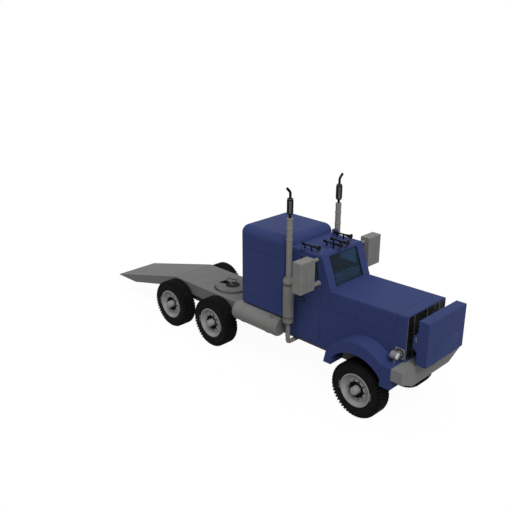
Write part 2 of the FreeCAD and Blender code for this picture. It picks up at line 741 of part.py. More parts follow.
def build_wheels():
    """Six rims with tyres; the making side faces -Y and is turned round for the left."""
    for axle, station in (("front", "front_x"), ("mid", "mid_x"), ("rear", "rear_x")):
        for side, sign in (("left", ""), ("right", "-")):
            for kind, source in (("rim", rim), ("tyre", tyre)):
                name = f"{kind}_{axle}_{side}"
                copy = placed_copy(source, name, station, f"{sign}wheel_track_half",
                                   "tyre_radius", turned=side == "left")
                keep(copy)


def build_frame():
    """Two channel rails, crossmembers and the bumper brackets."""
    body = new_body("frame_rails")
    ends = ("deck_end", "front_x + rail_front")
    web = "rail_half - rail_web"
    for sign in ("", "-"):
        channel = [(f"{sign}rail_half", "rail_low"), (f"{sign}rail_half", "rail_high"),
                   (f"{sign}(rail_half - rail_flange)", "rail_high"),
                   (f"{sign}(rail_half - rail_flange)", "rail_high - rail_web"),
                   (f"{sign}({web})", "rail_high - rail_web"),
                   (f"{sign}({web})", "rail_low + rail_web"),
                   (f"{sign}(rail_half - rail_flange)", "rail_low + rail_web"),
                   (f"{sign}(rail_half - rail_flange)", "rail_low")]
        extrude(body, "x", [channel], *ends)
    stations = ("deck_end + crossmember_size", "(mid_x + rear_x) / 2", "mid_x + 600",
                "mid_x + 1200", "front_x + rail_front")
    for middle in stations:
        block = box_outline(f"-({web})", "rail_low + rail_web + web_room",
                            web, "rail_high - rail_web - web_room")
        extrude(body, "x", [block], f"{middle} - crossmember_size", middle)
    for sign in ("", "-"):
        plate = box_outline(f"{sign}rail_half", "rail_high - horn_margin",
                            f"{sign}(rail_half - rail_flange)", "bumper_high - horn_margin")
        extrude(body, "x", [plate], "front_x + rail_front - 1", "bumper_face - bumper_wall")
    keep(body)


def build_axles():
    """Front beam with its kingpin eyes, and the two driven axles with their shafts."""
    beam = new_body("front_axle")
    level = "tyre_radius - beam_drop"
    low, high = f"{level} - beam_height / 2", f"{level} + beam_height / 2"
    half = "kingpin_half - beam_short"
    extrude(beam, "x", [box_outline(f"-({half})", low, half, high)],
            "front_x - beam_width / 2", "front_x + beam_width / 2")
    for sign in ("", "-"):
        pin = f"{sign}kingpin_half"
        extrude(beam, "z", [("front_x", pin, "eye_radius")], low, high)
        extrude(beam, "z", [("front_x", pin, "kingpin_radius + kingpin_gap")],
                low, high, cut=True)
    for sign in ("", "-"):
        seat = box_outline("front_x - pad_long", f"{sign}(front_spring_half - pad_wide)",
                           "front_x + pad_long", f"{sign}(front_spring_half + pad_wide)")
        extrude(beam, "z", [seat], f"{high} - 30", "front_spring_low")
    keep(beam)

    axles = new_body("drive_axles")
    for station in ("mid_x", "rear_x"):
        tube = [(station, "tyre_radius", "axle_tube")]
        extrude(axles, "y", tube, "-(tyre_in - tube_inset)", "tyre_in - tube_inset")
        stub = [(station, "tyre_radius", "spindle_radius")]
        extrude(axles, "y", stub, "-(spindle_end)", "spindle_end")
        case = [("0", "tyre_radius", "diff_radius")]
        extrude(axles, "x", case, f"{station} - diff_deep / 2", f"{station} + diff_deep / 2")
        nose = [("0", "tyre_radius", "diff_radius * 0.6")]
        extrude(axles, "x", nose, f"{station} + diff_deep / 2", f"{station} + diff_deep")
        drum = [(station, "tyre_radius", "drum_radius")]
        for sign in (1, -1):
            ends = side_ends("wheel_track_half - drum_back", "wheel_track_half - drum_front", sign)
            extrude(axles, "y", drum, *ends)
            mark = "" if sign > 0 else "-"
            chamber = [(f"{mark}chamber_half", "tyre_radius + axle_tube", "chamber_radius")]
            extrude(axles, "x", chamber, f"{station} - chamber_long - axle_tube / 2",
                    f"{station} - axle_tube / 2")
    shaft = [("0", "tyre_radius", "shaft_radius")]
    extrude(axles, "x", shaft, "rear_x", "mid_x")
    run = [("mid_x + diff_deep - run_lap", "tyre_radius"),
           ("engine_rear", "engine_low + shaft_radius + run_rise")]
    pipe(axles, "y", "0", run, "shaft_radius")
    keep(axles)


def build_knuckles():
    """Steering knuckle: two ears round the beam's eye, the kingpin and the wheel spindle."""
    body = new_body("knuckle_left")
    level = "tyre_radius - beam_drop"
    low, high = f"{level} - beam_height / 2", f"{level} + beam_height / 2"
    pin = ("front_x", "kingpin_half")
    ear = "eye_radius - 8"
    for foot, head in ((f"{low} - steer_gap - ear_height", f"{low} - steer_gap"),
                       (f"{high} + steer_gap", f"{high} + steer_gap + ear_height")):
        extrude(body, "z", [(*pin, ear)], foot, head)
        bridge = box_outline(f"front_x - ({ear})", "kingpin_half",
                             f"front_x + ({ear})", "kingpin_half + knuckle_out")
        extrude(body, "z", [bridge], foot, head)
    post = box_outline(f"front_x - ({ear})", "kingpin_half + eye_radius + steer_gap",
                       f"front_x + ({ear})", "kingpin_half + knuckle_out")
    extrude(body, "z", [post], f"{low} - steer_gap - ear_height",
            f"{high} + steer_gap + ear_height")
    extrude(body, "z", [(*pin, "kingpin_radius")], f"{low} - steer_gap - ear_height",
            f"{high} + steer_gap + ear_height")
    spindle = [("front_x", "tyre_radius", "spindle_radius")]
    extrude(body, "y", spindle, "kingpin_half + eye_radius + steer_gap", "spindle_end")
    drum = [("front_x", "tyre_radius", "drum_radius - drum_slim")]
    extrude(body, "y", drum, "kingpin_half + knuckle_out - drum_lap",
            "wheel_track_half - drum_front + drum_more")
    keep(body, mirrored(body, "knuckle_right"))


def build_springs():
    """Leaf packs: front ones under the rails, rear ones across the two driven axles."""
    front = new_body("spring")
    reach = "front_spring_reach"
    low, high = "front_spring_low", "rail_low"
    arch = [(f"front_x - {reach}", f"{high} - leaf_stack"),
            ("front_x - axle_pad", low), ("front_x + axle_pad", low),
            (f"front_x + {reach}", f"{high} - leaf_stack"),
            (f"front_x + {reach}", high), (f"front_x + {reach} - leaf_eye", high),
            (f"front_x + {reach} - leaf_eye", f"{high} - leaf_stack / 2"),
            ("front_x + axle_pad", f"{low} + leaf_stack"),
            ("front_x - axle_pad", f"{low} + leaf_stack"),
            (f"front_x - {reach} + leaf_eye", f"{high} - leaf_stack / 2"),
            (f"front_x - {reach} + leaf_eye", high), (f"front_x - {reach}", high)]
    extrude(front, "y", [arch], "front_spring_half - leaf_width / 2",
            "front_spring_half + leaf_width / 2")
    rear = new_body("bogie_spring")
    pivot = "(mid_x + rear_x) / 2"
    top = "tyre_radius + axle_tube"
    under, over = f"{top} + pack_rise", f"{top} + pack_rise + leaf_stack * 1.4"
    pack = [("rear_x - pack_end", top), ("rear_x + pack_end", top),
            (f"{pivot} - pack_mid", under), (f"{pivot} + pack_mid", under),
            ("mid_x - pack_end", top), ("mid_x + pack_end", top),
            ("mid_x + pack_end", f"{top} + pack_thin"), (f"{pivot} + pack_mid", over),
            (f"{pivot} - pack_mid", over), ("rear_x - pack_end", f"{top} + pack_thin")]
    extrude(rear, "y", [pack], "rear_spring_half - leaf_width / 2",
            "rear_spring_half + leaf_width / 2")
    saddle = box_outline(f"{pivot} - saddle_half", f"{top} + saddle_half",
                         f"{pivot} + saddle_half", "rail_high - web_room")
    extrude(rear, "y", [saddle], "rail_half", "rear_spring_half + leaf_width / 2")
    both = doc.addObject("Part::Compound", "leaf_springs")
    both.Label = "leaf_springs"
    both.Links = [front, mirrored(front, "front_spring_other"),
                  rear, mirrored(rear, "rear_spring_other")]
    keep(both)


def ramp_top(station):
    """Height of the ramp's upper face at a station."""
    return f"(deck_top - (deck_top - ramp_tip) * (deck_end - ({station})) / (deck_end - tail_x))"


def build_deck():
    """Plated deck over the rails with side skirts and a well for the fifth wheel."""
    body = new_body("deck")
    ends = ("deck_end", "sleeper_back - body_gap")
    under = "deck_top - deck_plate"
    extrude(body, "x", [box_outline("-deck_half", under, "deck_half", "deck_top")], *ends)
    for sign in ("", "-"):
        skirt = box_outline(f"{sign}deck_half", "skirt_low",
                            f"{sign}(deck_half - skirt_wall)", f"{under} + 1")
        extrude(body, "x", [skirt], *ends)
        runner = box_outline(f"{sign}rail_half", "rail_high",
                             f"{sign}(rail_half - rail_flange)", f"{under} + 1")
        extrude(body, "x", [runner], *ends)
    well = [("fifth_x", "0", "fifth_radius + well_gap")]
    extrude(body, "z", well, "rail_high - 5", "deck_top + 5", cut=True)
    for sign in (1, -1):
        reach = side_ends("tank_half - tank_radius - notch_gap", "deck_half + 5", sign)
        notch = box_outline("tank_rear - notch_gap", reach[0], "sleeper_back", reach[1])
        extrude(body, "z", [notch], "skirt_low - 5", "deck_top + 5", cut=True)
    keep(body)


def build_ramp():
    """Wedge that runs down behind the deck, open underneath between its ribs."""
    body = new_body("tail_ramp")
    knee, heel = "deck_end - ramp_knee", "deck_end - ramp_heel"
    side = [("deck_end", "skirt_low"), ("deck_end", "deck_top"), ("tail_x", "ramp_tip"),
            ("tail_x", "ramp_tip - tip_thick"), (heel, "ramp_heel_low"), (knee, "ramp_knee_low")]
    extrude(body, "y", [side], "-deck_half", "deck_half")
    inner = "deck_half - ramp_wall"
    cells = 4
    start, stop = "deck_end - cell_start", f"{heel} - cell_stop"
    for cell in range(cells):
        ahead = f"({start} + ({stop} - ({start})) * {cell} / {cells})"
        behind = f"({start} + ({stop} - ({start})) * {cell + 1} / {cells} + ramp_wall)"
        hollow = [(ahead, f"{ramp_top(ahead)} - ramp_wall"),
                  (behind, f"{ramp_top(behind)} - ramp_wall"),
                  (behind, "ramp_heel_low - cell_past"), (ahead, "ramp_heel_low - cell_past")]
        extrude(body, "y", [hollow], f"-({inner})", inner, cut=True)
    keep(body)


def build_fifth_wheel():
    """Two pedestals on the rails and the pitching plate with its pin."""
    base = new_body("fifth_wheel_base")
    for sign in ("", "-"):
        ear = [("fifth_x - ear_foot", "rail_high"), ("fifth_x + ear_foot", "rail_high"),
               ("fifth_x + ear_top", "fifth_pin_high + ear_over"),
               ("fifth_x - ear_top", "fifth_pin_high + ear_over")]
        near, far = "rail_half - rail_flange", "rail_half"
        low, high = (near, far) if sign == "" else (f"-{far}", f"-({near})")
        extrude(base, "y", [ear], low, high)
        bore = [("fifth_x", "fifth_pin_high", "fifth_pin + spindle_gap")]
        extrude(base, "y", bore, low, high, cut=True)
    keep(base)

    plate = new_body("fifth_wheel_plate")
    low, high = "fifth_top - fifth_plate", "fifth_top"
    extrude(plate, "z", [("fifth_x", "0", "fifth_radius")], low, high)
    extrude(plate, "z", [("fifth_x", "0", "ring_radius")], f"{high} - 1", f"{high} + ring_high")
    narrow = "fifth_x - jaw_length"
    throat = [(narrow, "-(kingpin_bore + jaw_side)"), (narrow, "kingpin_bore + jaw_side"),
              ("fifth_x - fifth_radius - 10", "fifth_mouth"),
              ("fifth_x - fifth_radius - 10", "-fifth_mouth")]
    extrude(plate, "z", [throat], low, f"{high} + ring_high", cut=True)
    inside = "rail_half - rail_flange - 8"
    for sign in ("", "-"):
        hub = [("fifth_x - hub_foot", f"{low} + 1"),
               ("fifth_x - hub_tip", "fifth_pin_high - hub_tip - 2"),
               ("fifth_x + hub_tip", "fifth_pin_high - hub_tip - 2"),
               ("fifth_x + hub_foot", f"{low} + 1")]
        near, far = f"{inside} - 60", inside
        ends = (near, far) if sign == "" else (f"-({far})", f"-({near})")
        extrude(plate, "y", [hub], *ends)
    extrude(plate, "y", [("fifth_x", "fifth_pin_high", "fifth_pin")], "-rail_half", "rail_half")
    extrude(plate, "z", [("fifth_x", "0", "kingpin_bore")],
            "fifth_pin_high - fifth_pin - 10", f"{high} + ring_high", cut=True)
    keep(plate)


def side_ends(low, high, side):
    """The two levels across the truck of a piece on the left (1) or right (-1)."""
    return (low, high) if side > 0 else (f"-({high})", f"-({low})")


def build_cab():
    """Hollow cab with windscreen, door openings and the way into the sleeper."""
    body = new_body("cab")
    roof_front = "fire_wall - screen_run"
    outer = [("fire_wall", "cab_low"), ("fire_wall", "cowl_high"), (roof_front, "roof_high"),
             ("cab_back", "roof_high"), ("cab_back", "cab_low")]
    extrude(body, "y", [outer], "-cab_half", "cab_half")
    crown = size("roof_high")
    soften(body, "roof_edge", lambda edge: along(edge, "x")
           and abs(edge.CenterOfMass.z - crown) < 1)
    rise = "(roof_high - cowl_high)"
    knee = f"cowl_high - (screen_shift - panel_wall) * {rise} / screen_run"
    inner_top = f"{roof_front} - screen_shift + panel_wall * screen_run / {rise}"
    inner = [("fire_wall - panel_wall", "cab_low + panel_wall"),
             ("fire_wall - panel_wall", knee),
             (inner_top, "roof_high - panel_wall"),
             ("cab_back + panel_wall", "roof_high - panel_wall"),
             ("cab_back + panel_wall", "cab_low + panel_wall")]
    extrude(body, "y", [inner], "-(cab_half - panel_wall)", "cab_half - panel_wall", cut=True)
    screen = box_outline("-screen_half", "screen_low", "screen_half", "screen_high")
    extrude(body, "x", [screen], f"{roof_front} - panel_wall * 1.5", "fire_wall", cut=True)
    extrude(body, "y", [door_outline("0")], "-cab_half - 10", "cab_half + 10", cut=True)
    way = box_outline("-passage_half", "passage_low", "passage_half", "passage_high")
    extrude(body, "x", [way], "cab_back - 10", "cab_back + panel_wall + 10", cut=True)
    for level in ("hinge_low", "hinge_top"):
        for sign in (1, -1):
            hinge_leaves(body, level, sign)
    keep(body)
    return body


def hinge_leaves(body, level, side):
    """The cab's half of a door hinge: two knuckles on a leaf, with the pin between."""
    mark = "" if side > 0 else "-"
    for foot, head in ((f"{level} - hinge_tall / 2", f"{level} - hinge_tall / 6"),
                       (f"{level} + hinge_tall / 6", f"{level} + hinge_tall / 2")):
        leaf = box_outline("hinge_x", f"{mark}(cab_half - 1)", "hinge_x + hinge_leaf",
                           f"{mark}(cab_half + hinge_radius / 2)")
        extrude(body, "z", [leaf], foot, head)
        extrude(body, "z", [("hinge_x", f"{mark}hinge_y", "hinge_radius")], foot, head)
    pin = [("hinge_x", f"{mark}hinge_y", "hinge_pin")]
    extrude(body, "z", pin, f"{level} - hinge_tall / 2", f"{level} + hinge_tall / 2 + 4")


def door_outline(inset):
    """Side outline of a door opening, or of the door itself with a space round it."""
    lean_start = "belt_high - lean_drop"
    return [(f"door_front - {inset}", f"door_low + {inset}"),
            (f"door_front - {inset}", lean_start),
            (f"door_front - {inset} - door_lean", f"door_high - {inset}"),
            (f"door_rear + {inset}", f"door_high - {inset}"),
            (f"door_rear + {inset}", f"door_low + {inset}")]


def window_outline(inset):
    """Side outline of the door window, or of its pane with a space round it."""
    front = "door_front - window_frame - body_gap"
    rise = "(door_high - belt_high + lean_drop)"
    lean = f"door_lean * (window_high - belt_high) / {rise}"
    foot = f"door_lean * lean_drop / {rise}"
    return [(f"{front} - {foot} - {inset}", f"belt_high + {inset}"),
            (f"{front} - {foot} - {lean} - {inset}", f"window_high - {inset}"),
            (f"door_rear + window_frame + body_gap + {inset}", f"window_high - {inset}"),
            (f"door_rear + window_frame + body_gap + {inset}", f"belt_high + {inset}")]


def build_doors():
    """Door with a window cut, its pane, and the mirror on two round arms."""
    door = new_body("door_left")
    inner = "cab_half - panel_wall"
    extrude(door, "y", [door_outline("body_gap")], inner, "cab_half")
    extrude(door, "y", [window_outline("0")], f"{inner} - 5", "cab_half + 5", cut=True)
    handle = box_outline("door_rear + handle_back", "handle_high - handle_half",
                         "door_rear + handle_back + handle_long", "handle_high + handle_half")
    extrude(door, "y", [handle], "cab_half - 1", "cab_half + handle_out")
    for level in ("hinge_low", "hinge_top"):
        foot = f"{level} - hinge_tall / 6 + seat_gap"
        head = f"{level} + hinge_tall / 6 - seat_gap"
        leaf = box_outline("hinge_x - hinge_leaf", "cab_half - 1", "hinge_x",
                           "cab_half + hinge_radius / 2")
        extrude(door, "z", [leaf], foot, head)
        extrude(door, "z", [("hinge_x", "hinge_y", "hinge_radius")], foot, head)
        bore = [("hinge_x", "hinge_y", "hinge_pin + seat_gap")]
        extrude(door, "z", bore, foot, head, cut=True)
    pane = new_body("door_glass_left")
    extrude(pane, "y", [window_outline("glass_gap")], "cab_half - glass_back - glass",
            "cab_half - glass_back")
    mirror = new_body("mirror_left")
    case = box_outline("front_x - mirror_back", "mirror_low",
                       "front_x - mirror_back + mirror_deep", "mirror_high")
    extrude(mirror, "y", [case], "mirror_in", "mirror_out")
    soften(mirror, "mirror_edge", lambda edge: True)
    recess = box_outline("mirror_in + mirror_rim", "mirror_low + mirror_rim",
                         "mirror_out - mirror_rim", "mirror_high - mirror_rim")
    extrude(mirror, "x", [recess], "front_x - mirror_back - 1",
            "front_x - mirror_back + mirror_sink", cut=True)
    arms = [("door_front - arm_low_back", "mirror_low + arm_low_rise", "arm_radius"),
            ("door_front - arm_top_back", "mirror_high - arm_top_drop",
             "arm_radius * arm_top_share")]
    for arm in arms:
        extrude(mirror, "y", [arm], "cab_half", "mirror_in + arm_lap")
    for thing in (door, pane, mirror):
        other = thing.Label.replace("left", "right")
        keep(thing, mirrored(thing, other))


def build_screen():
    """Windscreen pane that leans with the cab's front."""
    body = new_body("windscreen")
    slope = "screen_run / (roof_high - cowl_high)"
    corners = []
    for level, back in (("screen_low + glass_gap", "glass_back"),
                        ("screen_high - glass_gap", "glass_back"),
                        ("screen_high - glass_gap", "glass_back + glass"),
                        ("screen_low + glass_gap", "glass_back + glass")):
        corners.append((f"fire_wall - ({level} - cowl_high) * {slope} - ({back})", level))
    extrude(body, "y", [corners], "-(screen_half - glass_gap)", "screen_half - glass_gap")
    keep(body)


def lid_hinge(moving, fixed, across, up, barrel, pin, moving_leaf, fixed_leaf):
    """A lid's two barrels along the y axis, each on a pin between two fixed barrels."""
    near, far = "barrel_half - barrel_long / 2", "barrel_half + barrel_long / 2"
    for sign in (1, -1):
        reach = side_ends(near, far, sign)
        extrude(moving, "y", [moving_leaf], *reach)
        extrude(moving, "y", [(across, up, barrel)], *reach)
        extrude(moving, "y", [(across, up, f"{pin} + seat_gap")], *reach, cut=True)
        for low, high in ((f"{near} - barrel_end", f"{near} - seat_gap"),
                          (f"{far} + seat_gap", f"{far} + barrel_end")):
            ends = side_ends(low, high, sign)
            extrude(fixed, "y", [fixed_leaf], *ends)
            extrude(fixed, "y", [(across, up, barrel)], *ends)
        shaft = side_ends(f"{near} - barrel_end / 2", f"{far} + barrel_end / 2", sign)
        extrude(fixed, "y", [(across, up, pin)], *shaft)


def build_hood(cab):
    """Lid over the engine, the fixed sides below it and the shell round the grille. The
    joint ahead of the lid is round about the hinge, so that the lid clears it."""
    lid = new_body("hood_lid")
    rear, front = "fire_wall + body_gap", "shell_rear - body_gap"
    swing = "sqrt((shell_rear - body_gap - hood_axis_x) ^ 2 + (lid_top - hood_axis_z) ^ 2)"
    drop = "(hood_axis_z - lid_foot)"
    foot_front = f"hood_axis_x + sqrt(({swing}) ^ 2 - {drop} ^ 2)"
    side = [(rear, "lid_foot"), (foot_front, "lid_foot", swing, 1),
            (front, "lid_top"), (rear, "hood_rear_high")]
    extrude(lid, "y", [side], "-hood_half", "hood_half")
    floor = size("hood_rear_high") - 5
    soften(lid, "hood_edge", lambda edge: edge.CenterOfMass.z > floor
           and abs(abs(edge.CenterOfMass.y) - size("hood_half")) < 1)
    hollow = [(f"{rear} - 5", "hood_seam - 5"), (f"{front} + 5", "hood_seam - 5"),
              (f"{front} + 5", "lid_top - hood_wall"),
              (f"{rear} - 5", "hood_rear_high - hood_wall - 1")]
    extrude(lid, "y", [hollow], "-(hood_half - hood_wall)", "hood_half - hood_wall", cut=True)
    saddle = box_outline("hood_axis_x - hood_barrel", "hood_rear_high - 2",
                         "hood_axis_x + hood_barrel", "hood_axis_z")
    leaf = box_outline("fire_wall - panel_wall / 5", "hood_rear_high + leaf_gap",
                       "hood_axis_x", "hood_axis_z")
    lid_hinge(lid, cab, "hood_axis_x", "hood_axis_z", "hood_barrel", "hood_pin", saddle, leaf)
    keep(lid)

    bay = new_body("engine_bay")
    foot = "arch_high + sqrt(arch_radius ^ 2 - arch_foot ^ 2)"
    panel = [("fire_wall", "cab_low"), ("fire_wall", "hood_seam"), ("shell_rear", "hood_seam"),
             ("shell_rear", foot),
             ("front_x + arch_foot", foot, "arch_radius", 1),
             ("front_x - arch_foot", foot), ("front_x - arch_foot", "cab_low")]
    for sign in (1, -1):
        extrude(bay, "y", [panel], *side_ends("hood_half - hood_wall", "hood_half", sign))
    keep(bay)

    shell = new_body("grille_shell")
    wider = f"({swing} + body_gap)"
    tongue = f"hood_axis_x + sqrt({wider} ^ 2 - {drop} ^ 2)"
    brow = f"hood_axis_x + sqrt({wider} ^ 2 - (hood_axis_z - lid_top) ^ 2)"
    outline = [("shell_rear", "bumper_high"), ("grille_face", "bumper_high"),
               ("grille_face", "hood_front_high"), (brow, "lid_top", wider, -1),
               (tongue, "lid_foot"), ("shell_rear", "lid_foot")]
    extrude(shell, "y", [outline], "-hood_half", "hood_half")
    soften(shell, "hood_edge", lambda edge: edge.CenterOfMass.z > floor
           and abs(abs(edge.CenterOfMass.y) - size("hood_half")) < 1)
    mouth = box_outline("-(hood_half - hood_wall)", "grille_low",
                        "hood_half - hood_wall", "grille_high")
    extrude(shell, "x", [mouth], f"{tongue} - 5", "grille_face + 5", cut=True)
    keep(shell)


def build_grille():
    """Slats across the mouth, tied by upright bars and one cross bar."""
    body = new_body("grille")
    back, face = "grille_face - grille_deep", "grille_face - 8"
    half = "hood_half - hood_wall"
    pitch = "(grille_high - grille_low) / slat_count"
    slat = box_outline(f"-({half})", f"grille_low + {pitch} / 2 - slat_high / 2",
                       half, f"grille_low + {pitch} / 2 + slat_high / 2")
    first = extrude(body, "x", [slat], back, face)
    rows = body.newObject("PartDesign::LinearPattern", "rows")
    rows.Originals = [first]
    axis = next(item for item in body.Origin.OriginFeatures if item.Role == "Z_Axis")
    rows.Direction = (axis, [""])
    tie(rows, "Length", f"{pitch} * (slat_count - 1)")
    tie(rows, "Occurrences", "slat_count")
    body.Tip = rows
    doc.recompute()
    for middle in ("-bar_station", "0", "bar_station"):
        bar = box_outline(f"{middle} - bar_wide / 2", "grille_low",
                          f"{middle} + bar_wide / 2", "grille_high")
        extrude(body, "x", [bar], back, "grille_face")
    cross = box_outline(f"-({half})", "bar_cross - bar_wide / 2", half, "bar_cross + bar_wide / 2")
    extrude(body, "x", [cross], back, "grille_face")
    keep(body)


def build_fenders():
    """Arched fender with a flat shelf ahead of the wheel, open underneath."""
    body = new_body("fender")
    foot = "arch_high + sqrt(arch_radius ^ 2 - arch_foot ^ 2)"
    near = "front_x + arch_foot"
    bow_end = "front_x - arch_foot"
    outline = [("bumper_rear", "fender_low"), ("bumper_rear", "fender_shelf"),
               (near, "fender_shelf", "fender_bow", 1),
               (bow_end, "fender_shelf"), ("front_x - fender_bend", "fender_bend_high"),
               ("front_x - fender_tail", "fender_tail_low"),
               (bow_end, "fender_tail_low"), (bow_end, foot, "arch_radius", -1),
               (near, foot), (near, "fender_low")]
    extrude(body, "y", [outline], "hood_half", "fender_half")
    gap = "fender_wall"
    under = "fender_tail_low - 10"
    inside = [("bumper_rear - fender_wall", "fender_low - 10"),
              ("bumper_rear - fender_wall", f"fender_shelf - {gap}"),
              (near, f"fender_shelf - {gap}", f"fender_bow - {gap}", 1),
              (bow_end, f"fender_shelf - {gap}"),
              (f"front_x - fender_bend + {gap}", f"fender_bend_high - {gap} / 2"),
              (f"front_x - fender_tail + {gap}", under), (near, under)]
    extrude(body, "y", [inside], "hood_half - 5", "fender_half - fender_wall", cut=True)
    keep(pair(body, "fenders"))


def build_lamps():
    """Round lamp pod on a square side plate, and its lens."""
    pod = new_body("headlamp")
    front = "front_x + lamp_station"
    middle = f"{front} - lamp_long / 2"
    extrude(pod, "x", [("lamp_half", "lamp_high", "lamp_radius")], f"{front} - lamp_long", front)
    foot = "fender_shelf + lamp_plate_rise"
    plate = box_outline("shell_rear + body_gap", foot,
                        "shell_rear + body_gap + lamp_plate", f"{foot} + lamp_plate")
    extrude(pod, "y", [plate], "hood_half", "hood_half + lamp_plate_deep")
    extrude(pod, "y", [(middle, "lamp_high", "lamp_arm")], "hood_half + 1", "lamp_half")
    extrude(pod, "z", [(middle, "lamp_half", "lamp_foot")], "fender_shelf", "lamp_high")
    extrude(pod, "x", [("lamp_half", "lamp_high", "lens_radius")], f"{front} - lens_deep",
            f"{front} + 1", cut=True)
    lens = new_body("headlamp_lens")
    extrude(lens, "x", [("lamp_half", "lamp_high", "lens_radius - glass_gap")],
            f"{front} - lens_deep", f"{front} + lens_out")
    keep(pair(pod, "headlamps"), pair(lens, "headlamp_lenses"))


def build_bumper():
    """Bumper of an upright face and a top flange, with a tapering apron."""
    body = new_body("bumper")
    face = [("-bumper_half", "bumper_high"), ("-bumper_half", "bumper_low"),
            ("-apron_half", "apron_low"), ("apron_half", "apron_low"),
            ("bumper_half", "bumper_low"), ("bumper_half", "bumper_high")]
    extrude(body, "x", [face], "bumper_face - bumper_wall", "bumper_face")
    top = box_outline("-bumper_half", "bumper_high - bumper_wall", "bumper_half", "bumper_high")
    extrude(body, "x", [top], "bumper_rear", "bumper_face - 1")
    for sign in (1, -1):
        cheek = box_outline("bumper_rear", "bumper_low", "bumper_face - 1", "bumper_high - 1")
        ends = side_ends("bumper_half - bumper_wall", "bumper_half", sign)
        extrude(body, "y", [cheek], *ends)
    keep(body)


def build_chest():
    """Chest ahead of the grille on two feet, with a sunk panel in its face, a housing
    behind each end, and its lid on a hinge along the rear."""
    body = new_body("nose_chest")
    extrude(body, "x", [box_outline("-chest_half", "chest_low", "chest_half", "chest_seam")],
            "chest_rear", "chest_face")
    hollow = box_outline("chest_rear + chest_wall", "chest_low + chest_wall",
                         "chest_face - chest_wall", "chest_seam + 5")
    extrude(body, "y", [hollow], "-(chest_half - chest_wall)", "chest_half - chest_wall", cut=True)
    panel = box_outline("-panel_half", "chest_seam - panel_drop - panel_tall",
                        "panel_half", "chest_seam - panel_drop")
    extrude(body, "x", [panel], "chest_face - panel_sink", "chest_face + 5", cut=True)
    middle, back = "(chest_seam - boss_drop)", "chest_rear - boss_deep"
    boss = [("chest_rear + 1", f"{middle} - boss_half_high"),
            ("chest_rear + 1", f"{middle} + boss_half_high"), (back, f"{middle} + boss_flat"),
            (back, f"{middle} - boss_flat")]
    outside = "chest_half - boss_inset"
    for sign in (1, -1):
        extrude(body, "y", [boss], *side_ends(f"{outside} - boss_wide", outside, sign))
        foot = box_outline("grille_face + foot_back", "bumper_high",
                           "chest_face - foot_front", "chest_low + 1")
        extrude(body, "y", [foot], *side_ends("rail_half - rail_flange", "rail_half", sign))
    lid = new_body("chest_lid")
    extrude(lid, "x", [box_outline("-chest_half", "chest_seam + seat_gap",
                                   "chest_half", "chest_high")], "chest_rear", "chest_face")
    inside = box_outline("chest_rear + chest_wall", "chest_seam - 5",
                         "chest_face - chest_wall", "chest_high - chest_wall")
    extrude(lid, "y", [inside], "-(chest_half - chest_wall)", "chest_half - chest_wall", cut=True)
    upper = box_outline("chest_axis_x", "chest_seam + leaf_gap",
                        "chest_rear + 1", "chest_seam + chest_hinge")
    lower = box_outline("chest_axis_x", "chest_seam - chest_hinge",
                        "chest_rear + 1", "chest_seam - leaf_gap")
    lid_hinge(lid, body, "chest_axis_x", "chest_seam", "chest_hinge", "chest_pin", upper, lower)
    keep(body, lid)


def sleeper_block(name, inset):
    """Rounded block of the sleeper, moved in by the wall for the space inside."""
    body = new_body(name)
    half = f"(sleeper_half - {inset})"
    plan = [(f"sleeper_back + {inset}", f"-{half}"), (f"sleeper_face - {inset}", f"-{half}"),
            (f"sleeper_face - {inset}", half), (f"sleeper_back + {inset}", half)]
    extrude(body, "z", [plan], f"sleeper_low + {inset}", f"sleeper_high - {inset}")
    soften(body, f"sleeper_corner - {inset}", lambda edge: along(edge, "z"))
    brow = size(f"sleeper_high - {inset}")
    soften(body, f"sleeper_brow - {inset}", lambda edge: abs(edge.CenterOfMass.z - brow) < 1)
    return body


def build_sleeper():
    """Hollow sleeper with rounded edges on a box that stands on the rails."""
    shell = sleeper_block("sleeper_shell", "0")
    plinth = box_outline("-plinth_half", "rail_high", "plinth_half", "sleeper_low + 1")
    extrude(shell, "x", [plinth], "sleeper_back + plinth_back",
            "sleeper_face - plinth_front")
    way = box_outline("-passage_half", "passage_low", "passage_half", "passage_high")
    extrude(shell, "x", [way], "sleeper_face - sleeper_wall - 5", "sleeper_face + 5", cut=True)
    room = sleeper_block("sleeper_room", "sleeper_wall")
    hollow = doc.addObject("Part::Cut", "sleeper")
    hollow.Label = "sleeper"
    hollow.Base = shell
    hollow.Tool = room
    keep(hollow)
    bunk = new_body("bunk")
    bed = box_outline("sleeper_back + sleeper_wall + 1", "sleeper_low + sleeper_wall",
                      "sleeper_back + sleeper_wall + bunk_wide", "bunk_high")
    extrude(bunk, "y", [bed], "-bunk_half", "bunk_half")
    keep(bunk)


def build_tanks():
    """Round tank with two straps and the saddles that carry it on the rail."""
    body = new_body("tank")
    front = "front_x - tank_front"
    extrude(body, "x", [("tank_half", "tank_high", "tank_radius")], "tank_rear", front)
    for amount in ("tank_edge", "tank_edge / 3"):
        soften(body, amount, lambda edge: hasattr(edge.Curve, "Radius")
               and edge.Curve.Radius > size("tank_radius") - 1, "Chamfer")
    for share in (0.22, 0.78):
        middle = f"(tank_rear + tank_long * {share})"
        ends = (f"{middle} - strap_wide / 2", f"{middle} + strap_wide / 2")
        extrude(body, "x", [("tank_half", "tank_high", "tank_radius + strap_thick")], *ends)
        saddle = box_outline("rail_half", "tank_high - tank_radius - tank_lap",
                             "tank_half - tank_lap", "rail_high - 5")
        extrude(body, "x", [saddle], *ends)
    cap = [(f"{front} - cap_back", "tank_half + cap_out", "filler_radius")]
    extrude(body, "z", cap, "tank_high", "tank_high + tank_radius + filler_high")
    keep(pair(body, "fuel_tanks"))


